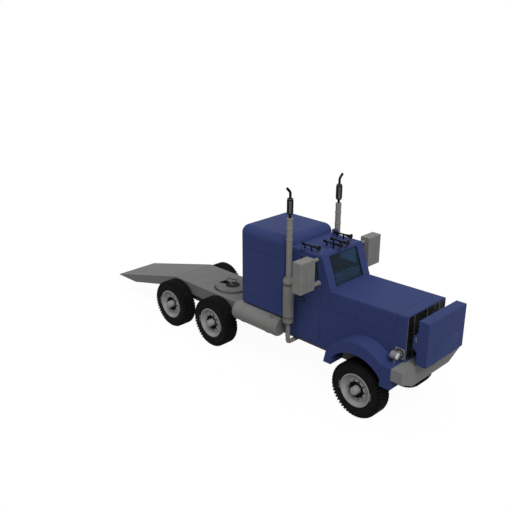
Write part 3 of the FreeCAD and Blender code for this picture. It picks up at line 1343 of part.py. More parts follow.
def build_stacks():
    """Exhaust stack: fat lower pipe, slim upper pipe, dark tip and a bent end."""
    body = new_body("stack")
    station = "front_x - stack_back"
    steps = [("stack_low", "stack_step", "stack_radius"),
             ("stack_step - 1", "stack_step + shoulder_high", "stack_radius * shoulder_share"),
             ("stack_step", "stack_neck", "pipe_radius"),
             ("stack_neck - 1", "tip_low + 1", "neck_radius"),
             ("tip_low", "tip_high", "pipe_radius"),
             ("tip_high - 1", "tip_high + neck_long", "neck_radius")]
    for drop in ("ring_low_drop", "ring_top_drop"):
        steps.append((f"stack_neck - {drop}", f"stack_neck - {drop} + pipe_ring_long",
                      "pipe_radius + pipe_ring"))
    for low, high, radius in steps:
        extrude(body, "z", [(station, "stack_half", radius)], low, high)
    bend = [("stack_half", "tip_high + neck_long / 2"), ("stack_half", "stack_bend"),
            ("stack_half + bend_out", "stack_bend + bend_rise")]
    pipe(body, "x", station, bend, "neck_radius")
    elbow = [("stack_half", "stack_low + 20"), ("stack_half", "elbow_high"),
             ("rail_half", "elbow_high")]
    pipe(body, "x", station, elbow, "elbow_radius")
    for foot in ("stack_step - clamp_drop", "stack_low + clamp_rise"):
        clamp = box_outline(f"{station} - clamp_half", foot,
                            f"{station} + clamp_half", f"{foot} + clamp_high")
        extrude(body, "y", [clamp], "cab_half", "stack_half")
    keep(pair(body, "exhaust_stacks"))


def build_horns():
    """Four trumpets that point forward on the cab roof, each on two posts."""
    horn = new_body("horn")
    bell = [("0", "0"), ("0", "14"), ("horn_long * 0.62", "horn_throat"),
            ("horn_long * 0.9", "horn_mouth * 0.62"), ("horn_long", "horn_mouth"),
            ("horn_long", "0")]
    revolve(horn, "y", bell, "H")
    for share in (0.08, 0.5):
        post = box_outline(f"horn_long * {share}", "-horn_rise",
                           f"horn_long * {share} + horn_post", "0")
        extrude(horn, "y", [post], "-horn_post * 0.4", "horn_post * 0.4")
    copies = []
    places = (("horn_end_back", "-555"), ("horn_pair_back", "-150"),
              ("horn_pair_back", "50"), ("horn_end_back", "410"))
    for number, (back, across) in enumerate(places, start=1):
        copies.append(placed_copy(horn, f"horn_{number}", f"front_x - {back}", across,
                                  "roof_high + horn_rise"))
    group = doc.addObject("Part::Compound", "air_horns")
    group.Label = "air_horns"
    group.Links = copies
    keep(group)


def build_engine():
    """Engine as one plain block on side lugs, and the radiator behind the grille."""
    block = new_body("engine")
    outline = box_outline("-engine_half", "engine_low", "engine_half", "engine_high")
    extrude(block, "x", [outline], "engine_rear", "front_x + engine_front")
    for station in ("engine_rear + lug_in", "front_x + engine_front - lug_in"):
        lug = box_outline("-(rail_half - rail_web)", "engine_low + lug_low",
                          "rail_half - rail_web", "engine_low + lug_low + lug_side")
        extrude(block, "x", [lug], f"{station} - lug_side", f"{station} + lug_side")
    keep(block)
    core = new_body("radiator")
    extrude(core, "x", [box_outline("-core_half", "grille_low", "core_half", "core_high")],
            "shell_rear + radiator_back",
            "shell_rear + radiator_back + radiator_deep")
    keep(core)


def build_cab_room():
    """Dashboard ledge, two seats and the steering wheel behind the screen."""
    ledge = new_body("dash_ledge")
    wall = "fire_wall - panel_wall"
    side = [(wall, "dash_low"), (wall, "dash_high"), (f"{wall} - dash_shelf", "dash_high"),
            (f"{wall} - dash_deep", "dash_high - dash_slope"),
            (f"{wall} - dash_deep", "dash_high - dash_slope - dash_edge"),
            (f"{wall} - dash_edge", "dash_low")]
    extrude(ledge, "y", [side], "-dash_half", "dash_half")
    bore = doc.addObject("Part::Cylinder", "column_bore")
    tie(bore, "Radius", "steer_grip * 1.6 + seat_gap")
    tie(bore, "Height", "steer_column + seat_gap")
    set_on_column(bore, wall)
    dash = doc.addObject("Part::Cut", "dashboard")
    dash.Label = "dashboard"
    dash.Base = ledge
    dash.Tool = bore

    keep(dash)
    seat = new_body("seat")
    back = "cab_back + panel_wall + seat_behind"
    floor = "cab_low + panel_wall"
    form = [(back, "seat_high - seat_thick"), (f"{back} + seat_long", "seat_high - seat_thick"),
            (f"{back} + seat_long", "seat_high"), (f"{back} + seat_back_thick", "seat_high - 20"),
            (f"{back} + seat_back_thin", "seat_top"), (f"{back} - seat_lean", "seat_top")]
    extrude(seat, "y", [form], "seat_half - seat_wide / 2", "seat_half + seat_wide / 2")
    stand = box_outline(f"{back} + seat_back_thin", floor,
                        f"{back} + seat_long - seat_behind", "seat_high - seat_thick + 1")
    extrude(seat, "y", [stand], "seat_half - seat_wide / 4", "seat_half + seat_wide / 4")
    keep(pair(seat, "seats"))
    rim_ring = new_body("wheel_ring")
    grip = [(f"steer_radius + steer_grip * {math.cos(math.radians(45 * step + 22.5)):.6f}",
             f"steer_grip * {math.sin(math.radians(45 * step + 22.5)):.6f}") for step in range(8)]
    revolve(rim_ring, "y", grip, "V")
    column = doc.addObject("Part::Cylinder", "wheel_column")
    tie(column, "Radius", "steer_grip * 1.6")
    tie(column, "Height", "steer_column")
    spokes = []
    for number in range(3):
        spoke = doc.addObject("Part::Box", f"wheel_spoke_{number}")
        tie(spoke, "Length", "steer_radius")
        tie(spoke, "Width", "steer_grip")
        tie(spoke, "Height", "steer_grip * 0.7")
        turn = FreeCAD.Rotation(FreeCAD.Vector(0, 0, 1), 120 * number)
        spoke.Placement = FreeCAD.Placement(FreeCAD.Vector(0, 0, 0), turn)
        spokes.append(spoke)
    wheel = doc.addObject("Part::MultiFuse", "steering_wheel")
    wheel.Label = "steering_wheel"
    wheel.Shapes = [rim_ring, column, *spokes]
    set_on_column(wheel, wall)
    keep(wheel)


def set_on_column(thing, wall):
    """The steering column runs forward and down into the dashboard."""
    thing.Placement.Rotation = FreeCAD.Rotation(FreeCAD.Vector(0, 1, 0), 118)
    place(thing, f"{wall} - dash_deep - wheel_reach", "seat_half", "dash_high + wheel_rise")


build_wheels()
build_frame()
build_axles()
cab = build_cab()
build_doors()
build_screen()
build_hood(cab)
build_grille()
build_fenders()
build_lamps()
build_bumper()
build_chest()
build_sleeper()
build_tanks()
build_stacks()
build_horns()
build_engine()
build_cab_room()
build_knuckles()
build_springs()
build_deck()
build_ramp()
build_fifth_wheel()


def check_and_write():
    """Every object sound and every node a valid shape before anything is written."""
    doc.recompute()
    failed = [item for item in doc.Objects if {"Invalid", "Error"} & set(item.State)]
    if failed:
        raise ValueError("; ".join(f"{item.Label} in {[owner.Label for owner in item.InList]}"
                                   for item in failed))
    for thing in NODES:
        shape = thing.Shape
        if shape.isNull() or not shape.isValid() or not shape.Solids:
            raise ValueError(f"{thing.Label} has no valid shape")
    os.makedirs("parts", exist_ok=True)
    for thing in NODES:
        shape = thing.Shape
        if len(shape.Solids) == 1:
            shape = shape.Solids[0]
        shape.exportStep(f"parts/{thing.Label}.step")
    print(len(NODES), "nodes written")


check_and_write()
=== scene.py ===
import bmesh
import bpy
import json
import math
from mathutils import Matrix, Vector, noise


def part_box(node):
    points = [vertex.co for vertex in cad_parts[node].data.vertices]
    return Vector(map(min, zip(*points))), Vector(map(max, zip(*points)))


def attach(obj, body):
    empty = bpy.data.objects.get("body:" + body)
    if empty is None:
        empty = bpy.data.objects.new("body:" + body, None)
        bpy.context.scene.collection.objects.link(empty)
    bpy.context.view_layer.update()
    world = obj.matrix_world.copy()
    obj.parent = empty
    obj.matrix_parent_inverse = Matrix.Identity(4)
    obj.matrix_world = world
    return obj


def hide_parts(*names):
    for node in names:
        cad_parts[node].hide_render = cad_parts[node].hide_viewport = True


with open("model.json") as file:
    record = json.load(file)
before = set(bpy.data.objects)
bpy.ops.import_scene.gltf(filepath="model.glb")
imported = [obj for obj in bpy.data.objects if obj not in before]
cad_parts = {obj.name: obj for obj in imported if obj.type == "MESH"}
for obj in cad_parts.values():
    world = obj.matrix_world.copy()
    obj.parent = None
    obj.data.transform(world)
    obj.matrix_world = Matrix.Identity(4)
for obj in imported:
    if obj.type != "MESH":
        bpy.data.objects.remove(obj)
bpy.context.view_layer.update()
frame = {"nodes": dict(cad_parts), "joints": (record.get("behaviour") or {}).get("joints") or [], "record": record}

joint_at = {joint["name"]: Vector(joint["pos_m"]) for joint in frame["joints"]}
FRONT = joint_at["steer_left"].x
MIDDLE = joint_at["roll_mid_left"].x
REAR = joint_at["roll_rear_left"].x
WHEEL_HIGH = joint_at["roll_mid_left"].z
WHEEL_OUT = joint_at["roll_mid_left"].y
FIFTH = joint_at["coupler_pitch"].x
SIDES = (("left", 1), ("right", -1))
WHITE = (1, 1, 1, 1)
DUST = (0.19, 0.175, 0.155)
BLUE = (0.043, 0.062, 0.18)

AZIMUTH, ELEVATION = math.radians(45.0), math.radians(20.479)
CAMERA_AT = (9.8225, -9.907, 7.25)
FOCAL_PIXELS, IMAGE_PIXELS, SENSOR = 690, 512, 36.0
WORLD_LEVEL = 0.42
SUN_POWER, SUN_WIDE, SUN_FROM = 1.67, math.radians(35), (0.64, -0.43, 1.0)
FLOOR_REACH, FLOOR_GREY, FLOOR_GLOW, FLOOR_SHARE = 150, 0.3, 1.17, 0.82


def put(name, data):
    """A new object in the scene."""
    made = bpy.data.objects.new(name, data)
    bpy.context.collection.objects.link(made)
    return made


def set_camera():
    """The photograph's viewing angle, for a picture of 512 by 512."""
    back = Vector((math.sin(AZIMUTH) * math.cos(ELEVATION),
                   -math.cos(AZIMUTH) * math.cos(ELEVATION), math.sin(ELEVATION)))
    data = bpy.data.cameras.new("camera")
    data.sensor_width = SENSOR
    data.lens = SENSOR * FOCAL_PIXELS / IMAGE_PIXELS
    data.clip_end = 400
    camera = put("camera", data)
    camera.location = CAMERA_AT
    camera.rotation_euler = back.to_track_quat("Z", "Y").to_euler()
    bpy.context.scene.camera = camera


def new_material(name):
    material = bpy.data.materials.new(name)
    material.use_nodes = True
    tree = material.node_tree
    return material, tree, tree.nodes["Principled BSDF"]


def grey(level):
    return (level, level, level)


def feed(tree, node, sockets):
    """Gives each named socket its constant, or links it to another node's output."""
    for name, value in sockets.items():
        if isinstance(value, bpy.types.NodeSocket):
            tree.links.new(value, node.inputs[name])
        else:
            node.inputs[name].default_value = value


def add_node(tree, kind, sockets, **settings):
    """A new shader node, of which the outputs are given back."""
    node = tree.nodes.new("ShaderNode" + kind)
    for name, value in settings.items():
        setattr(node, name, value)
    feed(tree, node, sockets)
    return node.outputs


def combine(tree, operation, first, second):
    return add_node(tree, "Math", {0: first, 1: second}, operation=operation)[0]


def seen_rays(tree):
    """1 for rays that show the background itself: straight, mirrored or through glass."""
    path = add_node(tree, "LightPath", {})
    plain = combine(tree, "MAXIMUM", path["Is Camera Ray"], path["Is Glossy Ray"])
    return combine(tree, "MAXIMUM", plain, path["Is Transmission Ray"])


def set_world():
    """Even light, and pure white where the background itself is seen."""
    world = bpy.data.worlds.new("studio")
    world.use_nodes = True
    tree = world.node_tree
    tree.nodes.clear()
    light = add_node(tree, "Background", {"Strength": WORLD_LEVEL, "Color": WHITE})
    white = add_node(tree, "Background", {"Strength": 1, "Color": WHITE})
    mix = add_node(tree, "MixShader", {"Fac": seen_rays(tree), 1: light[0], 2: white[0]})
    add_node(tree, "OutputWorld", {"Surface": mix[0]})
    bpy.context.scene.world = world


def set_floor():
    """A pale floor that shows near white and keeps the truck's shadow."""
    mesh = bpy.data.meshes.new("floor")
    corners = [(x * FLOOR_REACH, y * FLOOR_REACH, 0) for x, y in ((-1, -1), (1, -1), (1, 1), (-1, 1))]
    mesh.from_pydata(corners, [], [(0, 1, 2, 3)])
    material, tree, _ = new_material("floor")
    tree.nodes.clear()
    ground = add_node(tree, "BsdfDiffuse", {"Color": (*grey(FLOOR_GREY), 1)})
    white = add_node(tree, "Emission", {"Color": WHITE, "Strength": FLOOR_GLOW})
    part = combine(tree, "MULTIPLY", seen_rays(tree), FLOOR_SHARE)
    mix = add_node(tree, "MixShader", {"Fac": part, 1: ground[0], 2: white[0]})
    add_node(tree, "OutputMaterial", {"Surface": mix[0]})
    mesh.materials.append(material)
    put("floor", mesh)


def set_lamp():
    """One wide, soft lamp from above and a little to the front right."""
    data = bpy.data.lights.new("sky_lamp", "SUN")
    data.energy = SUN_POWER
    data.angle = SUN_WIDE
    up = Vector(SUN_FROM).to_track_quat("Z", "Y")
    put("sky_lamp", data).rotation_euler = up.to_euler()


set_camera()
set_world()
set_floor()
set_lamp()
bpy.context.scene.view_settings.view_transform = "Standard"


def texture_spot(tree, stretch=(1, 1, 1)):
    where = add_node(tree, "TexCoord", {})
    return add_node(tree, "Mapping", {"Vector": where["Object"], "Scale": stretch})["Vector"]


def noise_field(tree, spot, scale, detail=4.0):
    sockets = {"Scale": scale, "Detail": detail, "Vector": spot}
    return add_node(tree, "TexNoise", sockets)["Fac"]


def wave_field(tree, spot, scale, direction="Y", distortion=0.0):
    sockets = {"Scale": scale, "Distortion": distortion, "Vector": spot}
    return add_node(tree, "TexWave", sockets, bands_direction=direction)["Fac"]


def two_tone(tree, factor, dark, light, low=0.35, high=0.65):
    ramp = tree.nodes.new("ShaderNodeValToRGB")
    for number, (place, colour) in enumerate(((low, dark), (high, light))):
        ramp.color_ramp.elements[number].position = place
        ramp.color_ramp.elements[number].color = (*colour, 1)
    tree.links.new(factor, ramp.inputs["Fac"])
    return ramp.outputs["Color"]


def level_range(tree, factor, low, high):
    return add_node(tree, "MapRange", {"Value": factor, "From Min": 0.3, "From Max": 0.7,
        "To Min": low, "To Max": high})["Result"]


def relief(tree, height, distance):
    sockets = {"Height": height, "Distance": distance, "Strength": 1.0}
    return add_node(tree, "Bump", sockets)["Normal"]


def scaled(colour, factor):
    return tuple(min(1.0, part * factor) for part in colour)


def blended(colour, other, share):
    return tuple(a * (1 - share) + b * share for a, b in zip(colour, other))


def paint(name, colour, rough, spread=0.06, patch=2.5, grain=260.0, depth=0.0002,
          stretch=(1, 1, 1), specular=0.07, coat=0.0, dust=0.0):
    """Colour in soft patches, roughness that varies with it, fine relief and some dust."""
    material, tree, shader = new_material(name)
    spot = texture_spot(tree, stretch)
    patches = noise_field(tree, spot, patch)
    dark = scaled(colour, 1 - spread)
    light = blended(scaled(colour, 1 + spread), DUST, dust)
    feed(tree, shader, {
        "Base Color": two_tone(tree, patches, dark, light),
        "Roughness": level_range(tree, patches, rough - 0.06, rough + 0.06),
        "Normal": relief(tree, noise_field(tree, spot, grain), depth),
        "Specular IOR Level": specular})
    if coat:
        feed(tree, shader, {"Coat Weight": coat, "Coat Roughness": 0.25})
    return material


def woven_finish(name, colour, thread):
    """Cloth of crossing threads."""
    material, tree, shader = new_material(name)
    spot = texture_spot(tree)
    waves = [wave_field(tree, spot, thread, direction, 0.6) for direction in "XYZ"]
    threads = combine(tree, "ADD", combine(tree, "ADD", waves[0], waves[1]), waves[2])
    patches = noise_field(tree, spot, 14)
    feed(tree, shader, {
        "Base Color": two_tone(tree, patches, scaled(colour, 0.85), scaled(colour, 1.15)),
        "Normal": relief(tree, threads, 0.0006), "Roughness": 0.9, "Sheen Weight": 0.25})
    return material


def clear_finish(name, colour, rough, through):
    """Tinted pane with faint waviness."""
    material, tree, shader = new_material(name)
    spot = texture_spot(tree)
    patches = noise_field(tree, spot, 1.5, 2.0)
    feed(tree, shader, {
        "Base Color": two_tone(tree, patches, scaled(colour, 0.94), scaled(colour, 1.06)),
        "Normal": relief(tree, noise_field(tree, spot, 3.0, 1.0), 0.0006),
        "Roughness": rough, "Transmission Weight": through, "IOR": 1.15})
    return material


def ribbed_finish(name, scale, dark, light, high, depth, sockets):
    """Upright ribs or fins, darker in the grooves and lighter on the crests as painted shade and highlight, as on
    a radiator's core or a lamp's glass.
    """
    material, tree, shader = new_material(name)
    ribs = wave_field(tree, texture_spot(tree), scale)
    # The colour follows the ribs' height: painted shade in the grooves, painted highlight on the crests.
    feed(tree, shader, {"Base Color": two_tone(tree, ribs, dark, light, 0.2, high),
        "Normal": relief(tree, ribs, depth), **sockets})
    return material


FINISHES = {
    "body_blue": paint("blue_paint", BLUE, 0.46, spread=0.035, patch=1.3, grain=420, depth=0.00006,
        specular=0.02),
    "chassis": paint("chassis_paint", (0.125, 0.125, 0.13), 0.62, spread=0.16, patch=6, dust=0.25),
    "spring_steel": paint("spring_paint", (0.085, 0.085, 0.09), 0.6, spread=0.2, patch=9, dust=0.3,
        stretch=(1, 4, 12)),
    "deck_plate": paint("deck_paint", grey(0.175), 0.62, spread=0.05, patch=3.5, grain=150,
        depth=0.0004, specular=0.12, dust=0.06),
    "coupler": paint("coupler_iron", grey(0.17), 0.55, spread=0.08, patch=14, grain=120, depth=0.0008,
        specular=0.06),
    "engine_iron": paint("engine_iron", (0.15, 0.155, 0.165), 0.66, spread=0.15, patch=7, grain=90,
        depth=0.001, specular=0.4, dust=0.15),
    "radiator_core": ribbed_finish("radiator_core", 60, (0.012, 0.012, 0.013), grey(0.07), 0.9, 0.002,
        {"Roughness": 0.6, "Metallic": 0.3}),
    "grille_black": paint("grille_black", grey(0.012), 0.5, spread=0.2, patch=8, specular=0.3),
    "trim_grey": paint("trim_grey", grey(0.24), 0.48, patch=6),
    "lamp_glass": ribbed_finish("lamp_glass", 28, (0.8, 0.81, 0.82), (0.9, 0.91, 0.92), 0.8, 0.0012,
        {"Roughness": 0.12, "Coat Weight": 0.4}),
    "bumper_grey": paint("bumper_steel", grey(0.215), 0.45, spread=0.05, patch=2.2, grain=200,
        depth=0.0001, stretch=(1, 0.15, 1)),
    "glass": clear_finish("teal_glass", (0.085, 0.17, 0.26), 0.03, 0.92),
    "horn_black": paint("horn_black", grey(0.005), 0.4, spread=0.2, patch=10),
    "upholstery": woven_finish("seat_cloth", (0.2, 0.24, 0.24), 160),
    "dash_plastic": paint("dash_plastic", (0.74, 0.74, 0.73), 0.7, spread=0.05, patch=5, grain=700,
        depth=0.0003, specular=0.3),
    "black_plastic": paint("black_plastic", grey(0.008), 0.6, spread=0.2, patch=12, grain=600,
        specular=0.05),
    "tank_alloy": paint("tank_alloy", (0.21, 0.21, 0.207), 0.5, spread=0.05, patch=3, grain=240,
        depth=0.0001, stretch=(0.1, 1, 1), specular=0.15, dust=0.05),
    "stack_metal": paint("stack_metal", (0.255, 0.249, 0.234), 0.5, spread=0.08, patch=5, grain=240,
        depth=0.0001, stretch=(1, 1, 0.12)),
    "rim_steel": paint("rim_paint", grey(0.33), 0.5, patch=9, specular=0.15, dust=0.05),
    "tyre": paint("tyre_rubber", grey(0.0075), 0.8, spread=0.3, patch=11, grain=180, depth=0.0006,
        specular=0.06),
    "mirror_grey": paint("mirror_plastic", (0.235, 0.232, 0.225), 0.55, patch=6, grain=500),
}
DARK_GAP = paint("seam_shadow", (0.016, 0.022, 0.062), 0.8, specular=0.05)
GREY_GAP = paint("joint_shadow", grey(0.1), 0.8, specular=0.1)
MIRROR_FACE = paint("mirror_face", (0.012, 0.013, 0.014), 0.06, spread=0.1, grain=3, specular=0.6)
AMBER = paint("amber_lens", (0.55, 0.17, 0.02), 0.25, spread=0.1, patch=30, grain=60, depth=0.0006,
    specular=0.5, coat=0.3)

slot_of = {subpart["node"]: subpart["material_slot"] for subpart in frame["record"]["subparts"]}
for node_name, node in frame["nodes"].items():
    node.data.materials.clear()
    node.data.materials.append(FINISHES[slot_of[node_name]])


def around(count, begin=0.0):
    """Angles of equal steps round a circle."""
    return [begin + 2 * math.pi * step / count for step in range(count)]


def span(sign, near, far):
    """Two distances from the middle plane, on one side, in rising order."""
    return sorted((sign * near, sign * far))


def outward(sign):
    return "y" if sign > 0 else "-y"


def bridge(bm, rings, closed=False):
    """Faces between each ring of corners and the next; a ring may be a single point."""
    steps = max(len(ring) for ring in rings)
    for first, second in zip(rings, rings[1:] + rings[:1] if closed else rings[1:]):
        for step in range(steps):
            after = (step + 1) % steps
            corners = dict.fromkeys((first[step % len(first)], first[after % len(first)],
                second[after % len(second)], second[step % len(second)]))
            if len(corners) > 2:
                bm.faces.new(list(corners))


def box(bm, low, high, edge=0.004, turn=None):
    """A block with rounded edges; turn is a matrix about its middle."""
    low, high = Vector(low), Vector(high)
    made = bmesh.ops.create_cube(bm, size=1.0)["verts"]
    spread = Matrix.Diagonal((*(high - low), 1.0))
    middle = (low + high) / 2
    bmesh.ops.transform(bm, matrix=spread, verts=made)
    sides = list({side for corner in made for side in corner.link_edges})
    done = bmesh.ops.bevel(bm, geom=sides, offset=edge, segments=2, affect="EDGES", profile=0.6)
    made = list({corner for face in done["faces"] for corner in face.verts}
                | {corner for corner in made if corner.is_valid})
    faces = {face for corner in made for face in corner.link_faces}
    made = list({corner for face in faces for corner in face.verts})
    if turn is not None:
        bmesh.ops.transform(bm, matrix=turn.to_4x4(), verts=made)
    bmesh.ops.translate(bm, vec=middle, verts=made)
    return made


def lathe(bm, profile, steps, centre=(0, 0, 0), axis="y", begin=0.0, closed=False):
    """A profile of (along, radius) points turned round an axis through the centre."""
    order = {"x": (0, 1, 2), "y": (1, 2, 0), "z": (2, 0, 1)}[axis]
    rings = []
    for along, radius in profile:
        ring = []
        for angle in around(1 if radius < 1e-6 else steps, begin):
            place = [0.0, 0.0, 0.0]
            place[order[0]] = along
            place[order[1]] = radius * math.cos(angle)
            place[order[2]] = radius * math.sin(angle)
            ring.append(bm.verts.new(Vector(place) + Vector(centre)))
        rings.append(ring)
    bridge(bm, rings, closed)
    return rings


def prism(bm, outline, low, high):
    """An outline of (x, z) points drawn out along Y between two levels."""
    ends = [[bm.verts.new((x, level, z)) for x, z in outline] for level in (low, high)]
    bridge(bm, ends)
    bm.faces.new(ends[0])
    bm.faces.new(ends[1])


def tube(bm, route, radius, sides=12, capped=True):
    """A round bar along a route of points."""
    spots = [Vector(spot) for spot in route]
    rings = []
    ahead = (spots[1] - spots[0]).normalized()
    across = ahead.orthogonal().normalized()
    for index, spot in enumerate(spots):
        before = (spot - spots[index - 1]).normalized() if index else ahead
        after = (spots[index + 1] - spot).normalized() if index < len(spots) - 1 else before
        way = (before + after).normalized()
        across = (across - way * across.dot(way)).normalized()
        up = way.cross(across)
        rings.append([bm.verts.new(spot + (across * math.cos(angle) + up * math.sin(angle)) * radius)
                      for angle in around(sides)])
    bridge(bm, rings)
    if capped:
        bm.faces.new(rings[0])
        bm.faces.new(rings[-1])


def finished(bm, name, slot, body="root", stands_for=(), place=None, angle=34, finish=None):
    """One object from the mesh, with smooth round faces and sharp corners."""
    bmesh.ops.recalc_face_normals(bm, faces=bm.faces)
    mesh = bpy.data.meshes.new(name)
    bm.to_mesh(mesh)
    bm.free()
    for face in mesh.polygons:
        face.use_smooth = True
    mesh.set_sharp_from_angle(angle=math.radians(angle))
    mesh.materials.append(finish or FINISHES[slot])
    return show(mesh, name, slot, body, stands_for, place)


def show(mesh, name, slot, body, stands_for=(), place=None):
    piece = put(name, mesh)
    if place is not None:
        piece.matrix_world = place
    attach(piece, body)
    if stands_for:
        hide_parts(*stands_for)
    return piece


def strip(bm, start, end, normal, wide, thick):
    """A thin flat strip on a surface, from start to end."""
    start, end, normal = Vector(start), Vector(end), Vector(normal).normalized()
    across = (end - start).cross(normal).normalized() * wide / 2
    low = [start - across, start + across, end + across, end - across]
    corners = [bm.verts.new(spot - normal * 0.001) for spot in low]
    corners += [bm.verts.new(spot + normal * thick) for spot in low]
    for quad in ((4, 5, 6, 7), (0, 1, 5, 4), (1, 2, 6, 5), (2, 3, 7, 6), (3, 0, 4, 7)):
        bm.faces.new([corners[number] for number in quad])


def bolt(bm, spot, axis, radius=0.011, high=0.009, begin=0.2):
    """A washer and a hexagonal head with a slanted edge, along +axis or -axis."""
    sign = -1 if axis[0] == "-" else 1
    washer = [(0, 0), (0, radius * 1.45), (high * 0.25, radius * 1.45), (high * 0.25, radius)]
    head = [(high * 0.25, radius), (high * 0.85, radius), (high, radius * 0.82), (high, 0)]
    for profile, steps in ((washer, 16), (head, 6)):
        profile = [(sign * along, wide) for along, wide in profile]
        lathe(bm, profile, steps, spot, axis[-1], begin)


def at(back, across, high):
    """A place by its distance ahead of the front axle."""
    return Vector((FRONT + back, across, high))


LUGS = 50
TREAD_TOP = 0.5492
TREAD_BASE = 0.532
RIM_EDGE = 0.328
NUTS = 10


def make_tyre():
    """Carcass with a bead line, and rows of small tread blocks with serrated shoulders."""
    bm = bmesh.new()
    flank = [(0.1505, 0.316), (0.152, 0.33), (0.158, 0.338), (0.164, 0.362),
             (0.1685, 0.395), (0.17, 0.425), (0.1688, 0.43), (0.1688, 0.435),
             (0.17, 0.44), (0.168, 0.464), (0.16, 0.486), (0.148, 0.502),
             (0.128, 0.514), (0.098, 0.522), (0.09, 0.5365)]
    lathe(bm, flank + [(-along, radius) for along, radius in reversed(flank)], 132, closed=True)
    pitch = 2 * math.pi / LUGS
    shoulder = [(0.099, 0.518), (0.099, TREAD_TOP), (0.138, TREAD_TOP), (0.164, 0.52),
                (0.1665, 0.49), (0.156, 0.488)]
    rows = [([(-along, radius) for along, radius in shoulder], 0.0), (shoulder, 0.5)]
    for middle, shift in ((-0.063, 0.0), (0.0, 0.5), (0.063, 0.0)):
        near, far = middle - 0.026, middle + 0.026
        rib = [(near, TREAD_BASE), (near, TREAD_TOP), (far, TREAD_TOP), (far, TREAD_BASE)]
        rows.append((rib, shift))
    for section, shift in rows:
        for lug in range(LUGS):
            ends = []
            for turn in (0.24, 0.5, 0.76):
                angle = (lug + shift + turn) * pitch
                sine, cosine = math.sin(angle), math.cos(angle)
                ends.append([bm.verts.new((radius * sine, along, radius * cosine))
                             for along, radius in section])
            bridge(bm, ends)
            bm.faces.new(ends[0])
            bm.faces.new(ends[-1])
    return bm


def make_rim():
    """Pressed rim, its outer side towards -Y: rolled lip, bowl, dished disc and hub."""
    bm = bmesh.new()
    outer = [(-0.15, 0.315), (-0.152, 0.316), (-0.152, 0.3255), (-0.1545, RIM_EDGE),
             (-0.163, RIM_EDGE), (-0.165, 0.3255), (-0.165, 0.306), (-0.1615, 0.3022),
             (-0.15, 0.299), (-0.13, 0.29), (-0.1, 0.27), (-0.09, 0.26),
             (-0.088, 0.252), (-0.093, 0.244), (-0.1215, 0.17), (-0.124, 0.164),
             (-0.1225, 0.161), (-0.115, 0.16), (-0.079, 0.16), (-0.079, 0.082),
             (-0.1, 0.08), (-0.195, 0.079), (-0.199, 0.075), (-0.199, 0.056),
             (-0.201, 0.054), (-0.222, 0.0535), (-0.225, 0.0505), (-0.225, 0.0)]
    inner = [(-0.065, 0.083), (-0.065, 0.256), (-0.04, 0.27), (0.15, 0.295),
             (0.164, 0.3022), (0.165, 0.3255), (0.163, RIM_EDGE), (0.1545, RIM_EDGE),
             (0.152, 0.3255), (0.152, 0.316), (0.15, 0.315), (-0.15, 0.315)]
    neck = [(-0.065, 0.083), (-0.04, 0.083), (-0.04, 0.0375), (-0.1, 0.0375)]
    hole_edge = [(0.004, 0.017), (-0.004, 0.017), (-0.004, 0.013), (0.004, 0.012)]
    for profile, steps in ((outer, 96), (inner, 96), (neck, 48)):
        lathe(bm, profile, steps)
    for angle in around(NUTS, math.pi / NUTS):
        spot = (0.215 * math.sin(angle), -0.1075, 0.215 * math.cos(angle))
        lathe(bm, hole_edge, 20, spot)
    return bm


def make_nuts_and_hub_shade():
    """Ten nuts with studs in the recess of a rim, a black lining of the recess as painted shade, and ten black
    discs as painted shade in the hand holes.
    """
    bm = bmesh.new()
    # Black lining of the recess walls and floor: painted shade of the recess.
    lathe(bm, [(-0.079, 0.084), (-0.0805, 0.084), (-0.0805, 0.1585), (-0.113, 0.1585),
               (-0.1245, 0.164), (-0.1255, 0.169), (-0.1215, 0.17)], 60)
    stud = [(-0.028, 0.01), (-0.042, 0.01), (-0.044, 0.008), (-0.044, 0.0)]
    hole = [(0.001, 0.019), (-0.001, 0.018), (-0.001, 0.0)]
    for angle in around(NUTS):
        spot = (0.12 * math.sin(angle), -0.08, 0.12 * math.cos(angle))
        bolt(bm, spot, "-y", 0.0185, 0.03, begin=angle)
        lathe(bm, stud, 10, spot)
        # Thin black discs on the dished disc: painted shade seen in the hand holes.
        rings = lathe(bm, hole, 16)
        place = (Matrix.Rotation(angle + math.pi / NUTS, 4, "Y")
                 @ Matrix.Translation((0, -0.1157, 0.185)) @ Matrix.Rotation(-0.367, 4, "X"))
        bmesh.ops.transform(bm, matrix=place, verts=sum(rings, []))
    return bm


def make_weights():
    """Balance weights just outside the lip on two sides, and the valve stem."""
    bm = bmesh.new()
    half = Vector((0.009, 0.0045, 0.017))
    for middle in (0.5 * math.pi, 1.5 * math.pi):
        for step in range(-2, 3):
            turn = Matrix.Rotation(middle + step * 0.1, 3, "Y")
            spot = turn @ Vector((0, -0.164, 0.348))
            box(bm, spot - half, spot + half, 0.0015, turn)
    tube(bm, [(0.0, -0.105, 0.262), (0.0, -0.135, 0.262), (0.0, -0.155, 0.27)], 0.005, 8)
    return bm


def dress_wheels():
    """Tyre, rim, nuts with the painted shade of the hub, and weights of six wheels, each shape made once."""
    makers = {"tread": (make_tyre, "tyre"), "disc": (make_rim, "rim_steel"),
              "nuts_and_hub_shade": (make_nuts_and_hub_shade, "horn_black"), "weights": (make_weights, "trim_grey")}
    first = {}
    for side, sign in SIDES:
        for axle, station in (("front", FRONT), ("mid", MIDDLE), ("rear", REAR)):
            wheel = f"{axle}_{side}"
            place = Matrix.Translation((station, sign * WHEEL_OUT, WHEEL_HIGH))
            if sign > 0:
                place = place @ Matrix.Rotation(math.pi, 4, "Z")
            stands = {"tread": (f"tyre_{wheel}",), "disc": (f"rim_{wheel}",)}
            for part, (maker, slot) in makers.items():
                told = (f"{part}_{wheel}", slot, f"wheel_{wheel}", stands.get(part, ()), place)
                if part in first:
                    show(first[part], *told)
                else:
                    first[part] = finished(maker(), *told).data


